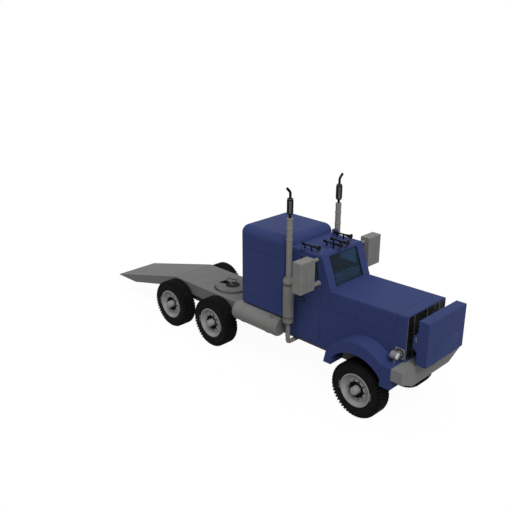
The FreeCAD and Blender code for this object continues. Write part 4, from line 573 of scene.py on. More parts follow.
dress_wheels()

SKIRT_HALF = 0.562
HOOD_HALF = 0.605
CAB_HALF = 0.608
SLEEPER_HALF = 0.727
BELT = 1.74
CAB_FOOT = 0.955
ROOF = 2.798
STACK_BACK, STACK_OUT = -1.828, 0.726
SCREEN_NORMAL = Vector((0.63, 0, 0.236)).normalized()


def seam_lines(name, lines, body="root", wide=0.0045, finish=DARK_GAP, slot="body_blue"):
    """Joint lines, dark unless told otherwise; each is (start, end, normal)."""
    bm = bmesh.new()
    for start, end, normal in lines:
        strip(bm, start, end, normal, wide, 0.0007)
    return finished(bm, name, slot, body, finish=finish)


def both_sides(lines):
    """The same lines on both sides of the truck."""
    return [tuple(Vector((spot[0], sign * spot[1], spot[2])) for spot in line)
            for line in lines for sign in (1, -1)]


def dress_panels():
    """Joint lines of the hood, the shell, the cab and the fenders, and splash panels."""
    left, up = (0, 1, 0), (0, 0, 1)
    hood_top = 2.161 + 0.0177 * (0.891 - 0.27)
    seam_lines("hood_seams", both_sides([
        (at(-0.27, HOOD_HALF, 1.782), at(-0.27, HOOD_HALF, hood_top - 0.034), left)]), "hood")
    seam_lines("shell_seams", both_sides([
        (at(0.63, HOOD_HALF, 1.983), at(0.725, HOOD_HALF, 1.983), left)]))
    seam_lines("bay_seams", both_sides([
        (at(-0.86, HOOD_HALF, 1.7775), at(0.6, HOOD_HALF, 1.7775), left)]))
    for side, sign in SIDES:
        seam_lines(f"door_belt_{side}", [
            (at(-1.69, sign * CAB_HALF, BELT), at(-1.13, sign * CAB_HALF, BELT), (0, sign, 0))],
            f"door_{side}", 0.0035)
    seam_lines("fender_seams", both_sides([
        (at(0.545, 0.607, 1.315), at(0.545, 0.9605, 1.315), up),
        (at(0.545, 0.961, 1.315), at(0.545, 0.961, 1.09), left)]))
    seam_lines("cab_seams", both_sides([
        (at(-1.72, CAB_HALF, CAB_FOOT), at(-1.72, CAB_HALF, 2.74), left),
        (at(-1.1, CAB_HALF, BELT), at(-0.9, CAB_HALF, BELT), left),
        (at(-1.86, CAB_HALF, CAB_FOOT), at(-0.93, CAB_HALF, CAB_FOOT), left)]))
    bm = bmesh.new()
    for sign in (1, -1):
        near, far = span(sign, 0.607, 0.936)
        box(bm, at(-0.5505, near, 0.896), at(-0.5445, far, 1.045), 0.002)
    finished(bm, "splash_panels", "body_blue")


def rounded_plan(low, high, radius, steps):
    """Corners of a rectangle with round corners, each with its outward direction."""
    plan = []
    rear, front = low[0] + radius, high[0] - radius
    right, left = low[1] + radius, high[1] - radius
    for x, y, begin in ((front, left, 0), (rear, left, 90), (rear, right, 180), (front, right, 270)):
        for step in range(steps + 1):
            angle = math.radians(begin + 90 * step / steps)
            way = Vector((math.cos(angle), math.sin(angle)))
            plan.append((Vector((x, y)) + way * radius, way))
    return plan


def dress_sleeper():
    """Panel joints round the sleeper, an upright joint and rivets on each side."""
    low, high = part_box("sleeper")
    bm = bmesh.new()
    section = ((-0.001, -0.002), (0.0008, -0.002), (0.0008, 0.002), (-0.001, 0.002))
    for level in (2.52, 1.72, 1.53):
        rings = []
        for spot, way in rounded_plan(low, high, 0.185, 8):
            places = [(spot + way * out, level + up) for out, up in section]
            rings.append([bm.verts.new((place.x, place.y, height)) for place, height in places])
        bridge(bm, rings, closed=True)
    for start, end, normal in both_sides([
            (at(-2.43, SLEEPER_HALF, 1.722), at(-2.43, SLEEPER_HALF, 2.518), (0, 1, 0))]):
        strip(bm, start, end, normal, 0.004, 0.0008)
    finished(bm, "sleeper_seams", "body_blue", finish=DARK_GAP)
    bm = bmesh.new()
    for sign in (1, -1):
        head = [(0, 0.0045), (sign * 0.0012, 0.0038), (sign * 0.0018, 0.0)]
        for step in range(16):
            for level in (1.7, 1.55):
                lathe(bm, head, 8, at(-2.92 + 0.049 * step, sign * SLEEPER_HALF, level))
    finished(bm, "sleeper_rivets", "body_blue")


def gasket(name, corners, normal, wide, thick, body):
    """A black rubber frame round a pane, from the corners of its opening."""
    bm = bmesh.new()
    corners = [Vector(spot) for spot in corners]
    normal = Vector(normal).normalized()
    middle = sum(corners, Vector()) / len(corners)
    inner, outer = [], []
    for index, spot in enumerate(corners):
        before = (spot - corners[index - 1]).normalized()
        after = (corners[(index + 1) % len(corners)] - spot).normalized()
        way = (before - after).normalized()
        if way.dot(spot - middle) < 0:
            way.negate()
        sine = max(0.3, abs(before.cross(way).length))
        inner.append(spot - way * wide * 0.35 / sine)
        outer.append(spot + way * wide * 0.65 / sine)
    crest = [(near + far) / 2 for near, far in zip(inner, outer)]
    rings = [[bm.verts.new(spot + normal * up) for spot in base] for base, up in (
        (inner, -0.004), (inner, thick * 0.6), (crest, thick), (outer, thick * 0.6),
        (outer, -0.001))]
    bridge(bm, rings, closed=True)
    finished(bm, name, "black_plastic", body)


def on_screen(across, high):
    """A point on the slanted outer face of the cab's front."""
    return at(-0.891 - 0.236 * (high - 2.168) / 0.63, across, high)


def dress_windows():
    """Rubber frames of the windscreen and the door glass, and the plates of the door handles."""
    corners = [on_screen(-0.41, 2.2), on_screen(0.41, 2.2), on_screen(0.41, 2.735),
               on_screen(-0.41, 2.735)]
    gasket("screen_gasket", corners, SCREEN_NORMAL, 0.011, 0.003, "root")
    lean = 0.0475
    for side, sign in SIDES:
        low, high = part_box(f"door_glass_{side}")
        face = sign * CAB_HALF
        pane = [(low[0], face, low[2]), (high[0], face, low[2]),
                (high[0] - lean, face, high[2]), (low[0], face, high[2])]
        gasket(f"door_gasket_{side}", pane, (0, sign, 0), 0.01, 0.003, f"door_{side}")
        bm = bmesh.new()
        box(bm, at(-1.65, face - 0.0015, 1.745), at(-1.51, face + 0.0015, 1.835), 0.001)
        lathe(bm, [(0, 0.011), (sign * 0.004, 0.011), (sign * 0.005, 0.009), (sign * 0.005, 0.0)], 16,
            at(-1.665, face, 1.79))
        finished(bm, f"handle_plate_{side}", "black_plastic", f"door_{side}")


def dress_stacks():
    """Polished lower pipe, slim pipe with rings, dark tip and bend, grey strips on the tip as a painted highlight,
    elbow and clamps.
    """
    pipe = [(1.244, 0.0), (1.244, 0.098), (1.248, 0.106), (1.258, 0.1105), (2.15, 0.1105),
            (2.16, 0.106), (2.166, 0.098), (2.168, 0.0866), (2.19, 0.0866), (2.196, 0.08),
            (2.196, 0.058), (2.955, 0.058), (2.96, 0.0645), (2.98, 0.0645), (2.985, 0.058),
            (3.185, 0.058), (3.19, 0.0645), (3.21, 0.0645), (3.215, 0.058), (3.365, 0.058),
            (3.37, 0.0615), (3.392, 0.0615), (3.395, 0.057), (3.395, 0.0)]
    elbow = [(0, 1.27), (0, 0.855), (-0.016, 0.816), (-0.055, 0.8), (-0.396, 0.8)]
    tip = [(3.39, 0.0), (3.39, 0.026), (3.47, 0.026), (3.472, 0.054), (3.477, 0.058),
           (3.77, 0.058), (3.775, 0.054), (3.777, 0.026), (3.78, 0.0)]
    bend = [(0, 3.775), (0, 3.88), (0.01, 3.904), (0.028, 3.926), (0.09, 3.9845)]
    collar = [(3.77, 0.0575), (3.77, 0.0595), (3.776, 0.0595), (3.779, 0.056), (3.779, 0.044)]
    for side, sign in SIDES:
        centre = at(STACK_BACK, sign * STACK_OUT, 0)
        bm = bmesh.new()
        lathe(bm, pipe, 40, centre, "z")
        tube(bm, [centre + Vector((0, sign * out, high)) for out, high in elbow], 0.045, 20)
        for level in (1.225, 0.95):
            low, high = level - 0.014, level + 0.014
            lathe(bm, [(low, 0.044), (low, 0.052), (high, 0.052), (high, 0.044)], 24, centre, "z")
        finished(bm, f"stack_pipe_{side}", "stack_metal", stands_for=("exhaust_stacks",))
        bm = bmesh.new()
        lathe(bm, tip, 32, centre, "z")
        tube(bm, [centre + Vector((0, sign * out, high)) for out, high in bend], 0.0255, 20)
        finished(bm, f"stack_tip_{side}", "horn_black")
        bm = bmesh.new()
        lathe(bm, collar, 32, centre, "z")
        # Grey strips on four sides of the dark tip: a painted highlight of the round tip.
        for angle in around(4, math.radians(45)):
            way = Vector((math.cos(angle), math.sin(angle), 0))
            foot, head = (centre + way * 0.058 + Vector((0, 0, level)) for level in (3.5, 3.74))
            strip(bm, foot, head, way, 0.046, 0.004)
        finished(bm, f"stack_collar_and_painted_highlight_{side}", "chassis")
        bm = bmesh.new()
        for foot in (2.038, 1.334):
            band = [(foot + 0.006, 0.109), (foot + 0.006, 0.1155), (foot + 0.054, 0.1155),
                (foot + 0.054, 0.109)]
            lathe(bm, band, 40, centre, "z")
            low, high = span(sign, CAB_HALF, 0.64)
            box(bm, at(-1.863, low, foot), at(-1.793, high, foot + 0.06), 0.004)
            for rise in (0.016, 0.044):
                bolt(bm, at(-1.871, sign * 0.624, foot + rise), "-x", 0.008, 0.006)
        finished(bm, f"stack_clamps_{side}", "chassis")


def dress_horns():
    """Round bases with seals under the horns, bell rims and rear knobs."""
    base = [(-0.001, 0.0), (-0.001, 0.066), (0.006, 0.066), (0.012, 0.058), (0.014, 0.012)]
    seal = [(0.0, 0.078), (0.003, 0.078), (0.003, 0.083), (0.0, 0.083)]
    bell = [(0.384, 0.046), (0.384, 0.0525), (0.39, 0.054), (0.3955, 0.052), (0.3955, 0.046),
            (0.388, 0.042)]
    knob = [(-0.036, 0.0), (-0.034, 0.018), (-0.024, 0.029), (-0.006, 0.032), (0.01, 0.029),
            (0.018, 0.018), (0.02, 0.0)]
    bases, rims, seals = bmesh.new(), bmesh.new(), bmesh.new()
    for back, across in ((-1.63, -0.555), (-1.43, -0.15), (-1.43, 0.05), (-1.63, 0.41)):
        spot = at(back + 0.044, across, ROOF)
        centre = at(back, across, ROOF + 0.1)
        lathe(bases, base, 28, spot, "z")
        lathe(rims, bell, 28, centre, "x", closed=True)
        lathe(rims, knob, 24, centre, "x")
        lathe(seals, seal, 32, spot, "z", closed=True)
    finished(bases, "horn_bases", "body_blue")
    finished(seals, "horn_seals", "body_blue", finish=DARK_GAP)
    finished(rims, "horn_rims", "horn_black")


def dress_roof():
    """Bracket at the rear corner of the roof, and the dark rail outside its left edge."""
    bm = bmesh.new()
    prism(bm, [(FRONT + back, high) for back, high in (
        (-1.795, 2.797), (-1.7, 2.797), (-1.712, 2.88), (-1.73, 2.898), (-1.795, 2.898))],
        0.5, 0.6)
    bmesh.ops.bevel(bm, geom=list(bm.edges), offset=0.004, segments=2, affect="EDGES")
    finished(bm, "roof_bracket", "body_blue")
    bm = bmesh.new()
    box(bm, at(-1.699, 0.52, 2.806), at(-1.672, 0.58, 2.862), 0.004)
    tube(bm, [at(*spot) for spot in (
        (-1.745, 0.595, 2.745), (-1.745, 0.648, 2.757), (-1.74, 0.655, 2.79),
        (-1.445, 0.655, 2.79), (-1.44, 0.648, 2.757), (-1.44, 0.595, 2.745))], 0.012, 10)
    finished(bm, "roof_rail", "horn_black")


dress_panels()
dress_sleeper()
dress_windows()
dress_stacks()
dress_horns()
dress_roof()

LAMP_HIGH = 1.465
GRILLE_FACE = 0.803
GRILLE_LOW, GRILLE_RAIL, GRILLE_TOP = 1.358, 1.755, 2.16
DECK_TOP = 1.0802
DECK_END = REAR - 0.229 - FRONT
SPRING_OUT = 0.285


def dress_lamps():
    """Domed ribbed lenses, light bezels, and a black ring with screws on each plate."""
    dome = [(0.704, 0.0), (0.704, 0.0612), (0.7255, 0.0612), (0.731, 0.052), (0.7352, 0.036),
            (0.7372, 0.016), (0.7375, 0.0)]
    bezel = [(0.712, 0.0725), (0.7175, 0.0765), (0.723, 0.0765), (0.7275, 0.0725),
             (0.7275, 0.064), (0.7225, 0.0625), (0.715, 0.0625)]
    boss = [(0.7365, 0.0), (0.7365, 0.0105), (0.7395, 0.0095), (0.74, 0.0)]
    ring = [(0.6145, 0.064), (0.619, 0.066), (0.619, 0.084), (0.6145, 0.086)]
    for side, sign in SIDES:
        centre = at(0, sign * 0.722, LAMP_HIGH)
        bm = bmesh.new()
        lathe(bm, dome, 40, centre, "x")
        finished(bm, f"lens_{side}", "lamp_glass", stands_for=("headlamp_lenses",))
        bm = bmesh.new()
        lathe(bm, bezel, 40, centre, "x", closed=True)
        lathe(bm, boss, 16, centre, "x")
        finished(bm, f"lamp_bezel_{side}", "trim_grey")
        bm = bmesh.new()
        lathe(bm, [(sign * along, wide) for along, wide in ring], 40,
                  at(0.691, 0, LAMP_HIGH), "y", closed=True)
        for across in (0.606, 0.776):
            for high in (1.38, 1.55):
                bolt(bm, at(across, sign * 0.615, high), outward(sign), 0.006, 0.005)
        finished(bm, f"lamp_ring_{side}", "black_plastic")


def dress_grille():
    """Light dashes on the upright bars, and a thin bead round the mouth."""
    bm = bmesh.new()
    rows = 22
    pitch = (GRILLE_TOP - GRILLE_LOW) / rows
    for middle in (-0.395, 0.0, 0.395, -0.591, 0.591):
        for row in range(rows):
            level = GRILLE_LOW + pitch * (row + 0.5)
            if abs(level - GRILLE_RAIL) >= 0.015:
                box(bm, at(GRILLE_FACE - 0.001, middle - 0.007, level - 0.009),
                    at(GRILLE_FACE + 0.003, middle + 0.007, level + 0.009), 0.001)
    finished(bm, "grille_dashes", "trim_grey")
    bm = bmesh.new()
    for level in (1.356, 2.162):
        tube(bm, [at(0.802, -0.58, level), at(0.802, 0.58, level)], 0.004, 8)
    finished(bm, "grille_bead", "grille_black")


def dress_chest():
    """Panel and latches on the chest's face, side hooks and amber markers."""
    bm = bmesh.new()
    box(bm, at(1.2115, -0.415, 1.496), at(1.2177, 0.415, 1.75), 0.001)
    finished(bm, "chest_panel", "body_blue")
    bm = bmesh.new()
    for across in (-0.36, 0.36):
        box(bm, at(1.2155, across - 0.022, 1.925), at(1.2178, across + 0.022, 1.974), 0.001)
    finished(bm, "chest_latches", "trim_grey")
    hook = ((0.992, 0.6, 1.868), (0.992, 0.614, 1.866), (0.993, 0.619, 1.856),
            (0.997, 0.619, 1.806), (1.000, 0.614, 1.796), (1.000, 0.6, 1.794))
    for side, sign in SIDES:
        bm = bmesh.new()
        tube(bm, [at(back, sign * across, high) for back, across, high in hook], 0.0055, 8)
        finished(bm, f"chest_hook_{side}", "trim_grey")
        bm = bmesh.new()
        low, high = span(sign, 0.6, 0.61)
        box(bm, at(0.974, low, 1.815), at(0.988, high, 1.85), 0.003)
        finished(bm, f"chest_marker_{side}", "lamp_glass", finish=AMBER)


def dress_bumper():
    """A light line along the crease as its painted highlight, and bolts on the bumper's face."""
    # A lighter grey strip where the face would bend: a painted highlight of the crease.
    crease_highlight = (at(0.9902, -0.955, 1.118), at(0.9902, 0.955, 1.118), (1, 0, 0))
    seam_lines("bumper_crease_highlight", [crease_highlight], finish=FINISHES["rim_steel"], slot="bumper_grey")
    bm = bmesh.new()
    for across in (-0.78, -0.33, 0.33, 0.78):
        for level in (1.175, 1.27):
            bolt(bm, at(0.99, across, level), "x", 0.012, 0.007)
    finished(bm, "bumper_bolts", "bumper_grey")


def dress_mirrors():
    """Two panes, a joint line on the front, and a collar, a knob and a sleeve on the arms."""
    sleeve = [(0.634, 0.03), (0.638, 0.038), (0.776, 0.038), (0.78, 0.03)]
    collar = [(0.606, 0), (0.606, 0.014), (0.616, 0.014), (0.622, 0.006), (0.64, 0.001)]
    knob = [(0.775, 0.001), (0.784, 0.01), (0.802, 0.014), (0.8195, 0.01)]
    for side, sign in SIDES:
        body = f"door_{side}"
        bm = bmesh.new()
        low, high = span(sign, 0.8385, 1.1945)
        for foot, head in ((2.1995, 2.352), (2.362, 2.7755)):
            box(bm, at(-1.3005, low, foot), at(-1.2965, high, head), 0.0012)
        finished(bm, f"mirror_panes_{side}", "black_plastic", body, finish=MIRROR_FACE)
        joint = (at(-1.0958, sign * 1.06, 2.194), at(-1.0958, sign * 1.06, 2.781), (1, 0, 0))
        seam_lines(f"mirror_joint_{side}", [joint], body, 0.003, GREY_GAP, "mirror_grey")
        bm = bmesh.new()
        fittings = []
        for back, level, radius in ((-1.177, 2.235, 0.042), (-1.233, 2.69, 0.028)):
            spot = at(back, 0, level)
            for profile in (collar, knob):
                fittings.append((spot, [(along, radius + more) for along, more in profile]))
        fittings.append((spot, sleeve))
        for spot, profile in fittings:
            lathe(bm, [(sign * along, wide) for along, wide in profile], 28, spot)
        finished(bm, f"mirror_arms_{side}", "mirror_grey", body)


def dress_deck():
    """Tile joints on the deck, bolt rows along the skirts."""
    edge = SKIRT_HALF - 0.004
    lines = [(at(back, -edge, DECK_TOP), at(back, edge, DECK_TOP), (0, 0, 1))
             for back in (DECK_END + 0.004, -5.1, -4.72)]
    for across in (-0.3, 0.3):
        lines.append((at(DECK_END, across, DECK_TOP), at(-4.7, across, DECK_TOP), (0, 0, 1)))
    seam_lines("deck_joints", lines, finish=GREY_GAP, slot="deck_plate")
    bm = bmesh.new()
    for sign in (1, -1):
        for step in range(9):
            back = DECK_END + 0.08 + step * 0.185
            bolt(bm, at(back, sign * SKIRT_HALF, 1.045), outward(sign), 0.008, 0.005)
    finished(bm, "deck_bolts", "deck_plate")


def dress_coupler():
    """Black sheet with bolts over the jaw as painted shade of its opening, black bars and an arc as painted shade
    of the throat, and grease pads on the coupler's plate.
    """
    body = "coupler_plate"
    pin = FIFTH - FRONT
    # A thin black sheet over the jaw: painted shade of the jaw opening.
    bm = bmesh.new()
    turns = [math.radians(-152 + 304 * step / 56) for step in range(57)]
    outline = [(math.cos(angle) * 0.0275, math.sin(angle) * 0.0275) for angle in turns]
    outline += [(math.cos(angle) * 0.164, math.sin(angle) * 0.164) for angle in reversed(turns)]
    low, high = 1.1235, 1.1262
    rings = [[bm.verts.new((FIFTH + x, y, level)) for x, y in outline] for level in (low, high)]
    bridge(bm, rings)
    for ring in rings:
        for step in range(len(turns) - 1):
            bm.faces.new((ring[step], ring[step + 1], ring[-2 - step], ring[-1 - step]))
    for turn in (-120, -60, 0, 60, 120):
        angle = math.radians(turn)
        bolt(bm, (FIFTH + 0.135 * math.cos(angle), 0.135 * math.sin(angle), high), "z",
                 0.009, 0.004)
    finished(bm, "jaw_opening_shade", "black_plastic", body)
    bm = bmesh.new()
    # A black bar with end blocks at the throat's mouth: painted shade of the throat.
    box(bm, at(pin - 0.392, -0.15, 1.046), at(pin - 0.37, 0.17, 1.072), 0.003)
    for across in (-0.15, 0.146):
        box(bm, at(pin - 0.392, across, 1.046), at(pin - 0.33, across + 0.024, 1.08), 0.003)
    # A black arc with end knobs along the throat's far wall: painted shade of that wall.
    arc = [at(pin - 0.36, 0.172, 1.121), at(pin - 0.29, 0.222, 1.122),
           at(pin - 0.19, 0.24, 1.122), at(pin - 0.07, 0.205, 1.121)]
    tube(bm, arc, 0.0065, 8)
    for spot in (arc[0], arc[-1]):
        lathe(bm, [(-0.006, 0.012), (0.006, 0.012), (0.009, 0.008), (0.009, 0.0)], 14, spot, "z")
    finished(bm, "throat_shade_bars", "horn_black", body)
    bm = bmesh.new()
    pad = [(1.1155, 0.0), (1.1155, 0.04), (1.1172, 0.04), (1.118, 0.036), (1.118, 0.0)]
    nipple = [(1.1175, 0.0075), (1.1235, 0.006), (1.1245, 0.0)]
    for back, across in ((-0.2, -0.315), (0.18, -0.29), (-0.2, 0.315), (0.18, 0.29)):
        lathe(bm, pad, 24, at(pin + back, across, 0), "z")
        lathe(bm, nipple, 10, at(pin + back, across, 0), "z")
    finished(bm, "grease_pads", "chassis", body)


def dress_chassis():
    """U-bolts and leaf lines of the springs, frame bolts, joints of the drive shafts."""
    bolts, leaves, joints = bmesh.new(), bmesh.new(), bmesh.new()
    middle = (MIDDLE + REAR) / 2 - FRONT
    front = (SPRING_OUT, 0.047, 0.545, 0.655, 0.008, 0.014, 0.058, 0.638)
    rear = (0.44, 0.048, 0.7, 0.88, 0.009, 0.016, 0.062, 0.696)
    clips = [(back, *front) for back in (-0.06, 0.06)]
    clips += [(middle + back, *rear) for back in (-0.09, 0.09)]
    for sign in (1, -1):
        for back, out, half, foot, head, radius, thick, wide, plate in clips:
            for across in (out - half, out + half):
                spots = [at(back, sign * across, foot), at(back, sign * across, head)]
                tube(bolts, spots, radius, 8)
            low = at(back - thick, sign * out - wide, plate)
            box(bolts, low, low + Vector((2 * thick, 2 * wide, thick)), 0.004)
        for step in range(12):
            for level in (0.765, 0.865):
                spot = at(-1.15 - step * 0.36, sign * 0.33, level)
                bolt(bolts, spot, outward(sign), 0.01, 0.007)
        for side in (1, -1):
            face = sign * SPRING_OUT + side * 0.04
            for level in (0.595, 0.605, 0.615, 0.625):
                strip(leaves, at(-0.076, face, level), at(0.076, face, level), (0, side, 0), 0.0022,
                    0.0006)
    finished(bolts, "frame_bolts", "chassis")
    finished(leaves, "leaf_joints", "spring_steel", finish=DARK_GAP)
    flange = [(-0.022, 0.046), (-0.022, 0.074), (-0.01, 0.078), (0.01, 0.078),
              (0.022, 0.074), (0.022, 0.046)]
    stud = [(-0.116, 0.0), (-0.116, 0.009), (0.116, 0.009), (0.116, 0.0)]
    for place in (MIDDLE + 0.205, MIDDLE - 0.205, REAR + 0.205):
        lathe(joints, flange, 24, (place, 0, WHEEL_HIGH), "x")
    for station in (MIDDLE, REAR):
        for angle in around(12):
            spot = (station + 0.155 * math.cos(angle), 0, WHEEL_HIGH + 0.155 * math.sin(angle))
            lathe(joints, stud, 6, spot)
    finished(joints, "driveline_joints", "chassis")


def dress_tanks():
    """Knurled filler caps and end joints of the tanks."""
    low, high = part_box("fuel_tanks")
    caps, joints = bmesh.new(), bmesh.new()
    skirt = [(1.245, 0.05), (1.252, 0.05), (1.256, 0.044), (1.2735, 0.044)]
    crown = [(1.2725, 0.042), (1.2735, 0.03), (1.2735, 0.0)]
    for sign in (1, -1):
        spot = Vector((high[0] - 0.17, sign * 0.774, 0))
        lathe(caps, skirt, 28, spot, "z")
        for angle in around(14):
            edge = spot + Vector((0.044 * math.cos(angle), 0.044 * math.sin(angle), 0))
            corner = edge + Vector((-0.004, -0.004, 1.254))
            box(caps, corner, corner + Vector((0.008, 0.008, 0.018)), 0.001)
        lathe(caps, crown, 28, spot, "z")
        for station in (low[0] + 0.055, high[0] - 0.055):
            joint = [(station - 0.003, 0.2065), (station - 0.002, 0.2095), (station + 0.002, 0.2095),
                (station + 0.003, 0.2065)]
            lathe(joints, joint, 64, (0, sign * 0.704, 1.053), "x")
    finished(caps, "tank_caps", "tank_alloy")
    finished(joints, "tank_joints", "tank_alloy", finish=GREY_GAP)


dress_lamps()
dress_grille()
dress_chest()
dress_bumper()
dress_mirrors()
dress_deck()
dress_coupler()
dress_chassis()
dress_tanks()

DASH_FACE = -1.129
COVER_PITCH = 0.38
PORT_PITCH = 0.195
SEAT_REACH = 0.4
SEAT_FLOOR = 0.981
FAN_HIGH, CRANK_HIGH = 1.62, 1.02


def dress_engine():
    """Rocker covers, manifold, intake pipe, belt pulleys and the fan on the engine."""
    bm = bmesh.new()
    for cover in range(3):
        rear = -0.76 + cover * COVER_PITCH
        box(bm, at(rear, -0.13, 1.635), at(rear + 0.35, 0.13, 1.712), 0.016)
        for rib in (0.05, 0.125, 0.2, 0.275):
            box(bm, at(rear + rib, -0.11, 1.705), at(rear + rib + 0.02, 0.11, 1.722), 0.005)
        for across in (-0.118, 0.118):
            for along in (0.03, 0.32):
                bolt(bm, at(rear + along, across, 1.712), "z", 0.01, 0.01)
    for port in range(6):
        back = -0.72 + port * PORT_PITCH
        tube(bm, [at(back, -0.235, 1.5), at(back, -0.27, 1.5), at(back, -0.298, 1.49)], 0.03, 14)
        box(bm, at(back - 0.045, -0.256, 1.455), at(back + 0.045, -0.236, 1.545), 0.006)
        tube(bm, [at(back, 0.235, 1.56), at(back, 0.29, 1.58)], 0.028, 14)
    tube(bm, [at(-0.78, -0.305, 1.485), at(0.32, -0.305, 1.485)], 0.042, 18)
    tube(bm, [at(-0.76, 0.312, 1.585), at(0.29, 0.312, 1.585), at(0.35, 0.305, 1.6)], 0.045, 18)
    box(bm, at(-0.83, -0.225, 0.772), at(0.42, 0.225, 0.79), 0.004)
    finished(bm, "engine_top", "engine_iron")
    bm = bmesh.new()
    lathe(bm, [(0.428, 0.1), (0.428, 0.125), (0.44, 0.132), (0.446, 0.118),
                   (0.452, 0.132), (0.464, 0.125), (0.464, 0.0)], 36, at(0, 0, CRANK_HIGH), "x")
    lathe(bm, [(0.428, 0.05), (0.44, 0.082), (0.45, 0.074), (0.46, 0.082), (0.464, 0.03),
                   (0.5, 0.055), (0.53, 0.055), (0.532, 0.0)], 32, at(0, 0, FAN_HIGH), "x")
    twist = Matrix.Translation((0, 0, 0.165)) @ Matrix.Rotation(math.radians(28), 4, "Z")
    for angle in around(8):
        place = Matrix.Translation(at(0.512, 0, FAN_HIGH)) @ Matrix.Rotation(angle, 4, "X") @ twist
        made = box(bm, (-0.002, -0.038, -0.125), (0.002, 0.038, 0.125), 0.0015)
        bmesh.ops.transform(bm, matrix=place, verts=made)
    finished(bm, "engine_fan", "horn_black")
    bm = bmesh.new()
    for level in (1.372, 2.055):
        box(bm, at(0.612, -0.515, level - 0.012), at(0.7, 0.515, level + 0.026), 0.008)
    finished(bm, "radiator_tanks", "engine_iron")


def dress_cab_room():
    """Upper part of the dashboard with dials, the steering wheel, pedals and a lever."""
    bm = bmesh.new()
    prism(bm, [(FRONT + back, high) for back, high in (
        (-0.999, 2.262), (-0.992, 2.3), (-1.152, 2.306), (-1.16, 2.298), (-1.16, 2.272),
        (-1.14, 2.262), (-1.118, 2.118), (-1.000, 2.118))], -0.535, 0.535)
    finished(bm, "dash_top", "dash_plastic")
    bm = bmesh.new()
    turn = Matrix.Rotation(math.atan2(0.022, 0.144), 3, "Y")
    for across, radius in ((0.185, 0.045), (0.3, 0.045), (0.415, 0.045), (0.095, 0.028),
            (0.5, 0.028)):
        dial = [(-0.01, radius + 0.006), (0.0, radius + 0.006), (0.002, radius + 0.001),
                (-0.004, radius - 0.003), (-0.004, 0.0)]
        for corner in sum(lathe(bm, dial, 28, axis="x"), []):
            back, left, up = corner.co
            corner.co = turn @ Vector((-back, left, up)) + at(DASH_FACE, across, 2.19)
    for across in (-0.42, -0.3):
        for level in (2.165, 2.176, 2.187, 2.198, 2.209):
            box(bm, at(-1.134, across - 0.045, level), at(-1.128, across + 0.045, level + 0.005), 0.001)
    tube(bm, [at(-1.44, 0.02, 0.985), at(-1.43, 0.02, 1.5), at(-1.41, 0.03, 1.66)], 0.012, 12)
    lathe(bm, [(1.65, 0.0), (1.652, 0.016), (1.668, 0.027), (1.69, 0.026), (1.704, 0.014),
                   (1.707, 0.0)], 20, at(-1.41, 0.03, 0), "z")
    for across in (0.2, 0.32, 0.44):
        box(bm, at(-1.12, across - 0.032, 1.06), at(-1.096, across + 0.032, 1.15), 0.006)
        tube(bm, [at(-1.105, across, 1.1), at(-1.01, across, 1.32), at(-0.95, across, 1.4)], 0.008,
            8)
    finished(bm, "dash_fittings", "black_plastic")
    bm = bmesh.new()
    grip = [(0.0145 * math.sin(angle), 0.215 + 0.0145 * math.cos(angle)) for angle in around(16)]
    lathe(bm, grip, 72, axis="z", closed=True)
    lathe(bm, [(-0.01, 0.0), (-0.01, 0.03), (-0.004, 0.048), (0.012, 0.052),
                   (0.03, 0.04), (0.036, 0.024), (0.225, 0.024), (0.225, 0.0)], 32, axis="z")
    for angle in around(3):
        way = Vector((math.cos(angle), math.sin(angle), 0))
        tube(bm, [way * 0.04 + Vector((0, 0, 0.01)), way * 0.13 + Vector((0, 0, 0.006)),
            way * 0.213], 0.009, 12)
    place = Matrix.Translation(at(-1.421, 0.3, 2.16)) @ Matrix.Rotation(math.radians(118), 4, "Y")
    finished(bm, "steering_ring", "black_plastic", stands_for=("steering_wheel",), place=place)


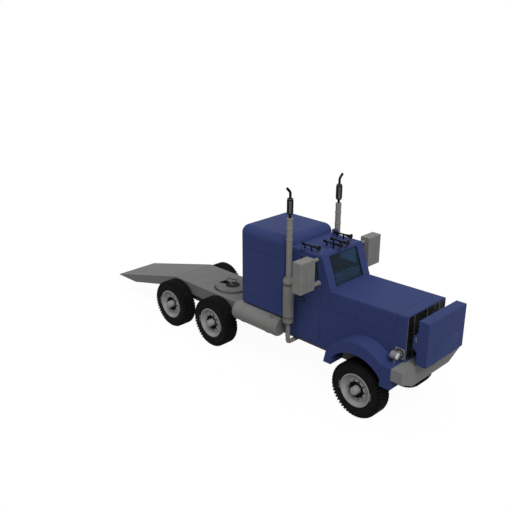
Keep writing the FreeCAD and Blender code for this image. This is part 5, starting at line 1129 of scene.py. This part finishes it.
def make_pad(low, high, crown, quilts, drop=0.03, soft=5.0):
    """A crowned closed pad with rounded sides, sewn channels across its top and piping."""
    low, high = Vector(low), Vector(high)
    bm = bmesh.new()
    bmesh.ops.create_cube(bm, size=2.0)
    bmesh.ops.subdivide_edges(bm, edges=list(bm.edges), cuts=35, use_grid_fill=True)
    half, middle = (high - low) / 2, (high + low) / 2
    for corner in bm.verts:
        u, v, w = corner.co
        reach = (abs(u) ** soft + abs(v) ** soft + abs(w) ** soft) ** (1 / soft)
        u, v, w = u / reach, v / reach, w / reach
        inside = max(0.0, 1 - u * u) * max(0.0, 1 - v * v)
        rise = crown * inside if w > 0 else 0.0
        channel = sum(math.exp(-((u - line) / 0.035) ** 2) for line in quilts)
        dip = 0.009 * channel * max(0.0, w) * max(0.0, 1 - v ** 6)
        fold = 0.0022 * noise.noise(Vector((u * 3.1, v * 3.7, w * 2.3 + half.x * 9)))
        pinch = 0.018 * (1 - w * w)
        corner.co = middle + Vector((
            half.x * u * (1 - pinch * (1 - abs(u) ** 4)), half.y * v * (1 - pinch),
            half.z * w - crown * max(0.0, w) + rise - dip + fold))
    spots = []
    for angle in around(96) + [0.0]:
        c, s = math.cos(angle), math.sin(angle)
        reach = (abs(c) ** soft + abs(s) ** soft) ** (1 / soft)
        spots.append((middle.x + (half.x - 0.006) * c / reach, middle.y + (half.y - 0.006) * s / reach,
            high.z - drop))
    tube(bm, spots, 0.0055, 8, capped=False)
    return bm


def dress_seats():
    """Cushions and backs of two seats on plastic pedestals, and the bunk's mattress."""
    low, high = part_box("seats")
    rear = high[0] - SEAT_REACH
    upright = (Matrix.Translation((rear + 0.052, 0, 1.886))
               @ Matrix.Rotation(math.radians(-92), 4, "Y"))
    for side, sign in SIDES:
        near, far = span(sign, 0.08, 0.52)
        bm = make_pad((rear + 0.02, near, 1.45), (rear + SEAT_REACH, far, 1.562), 0.018,
            (-0.35, 0.05, 0.45))
        piece = finished(bm, f"seat_cushion_{side}", "upholstery", stands_for=("seats",), angle=60)
        bm = make_pad((-0.34, near, -0.052), (0.34, far, 0.052), 0.016, (-0.55, -0.2, 0.15, 0.5),
            0.022)
        bmesh.ops.transform(bm, matrix=upright, verts=list(bm.verts))
        piece = finished(bm, f"seat_back_{side}", "upholstery", angle=60)
    bm = bmesh.new()
    for sign in (1, -1):
        near, far = span(sign, 0.19, 0.41)
        box(bm, (rear + 0.08, near, 0.982), (rear + 0.376, far, 1.452), 0.018)
        box(bm, (rear + 0.04, near - 0.05, 1.425), (rear + 0.385, far + 0.05, 1.456), 0.01)
        for rail in (near - 0.012, far - 0.012):
            box(bm, (rear + 0.04, rail, SEAT_FLOOR), (rear + 0.39, rail + 0.024, 1.004), 0.004)
    finished(bm, "seat_stands", "black_plastic")
    low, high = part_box("bunk")
    bm = make_pad(low, high, 0.016, (-0.6, -0.2, 0.2, 0.6), soft=7.0)
    piece = finished(bm, "mattress", "upholstery", stands_for=("bunk",), angle=60)


dress_engine()
dress_cab_room()
dress_seats()
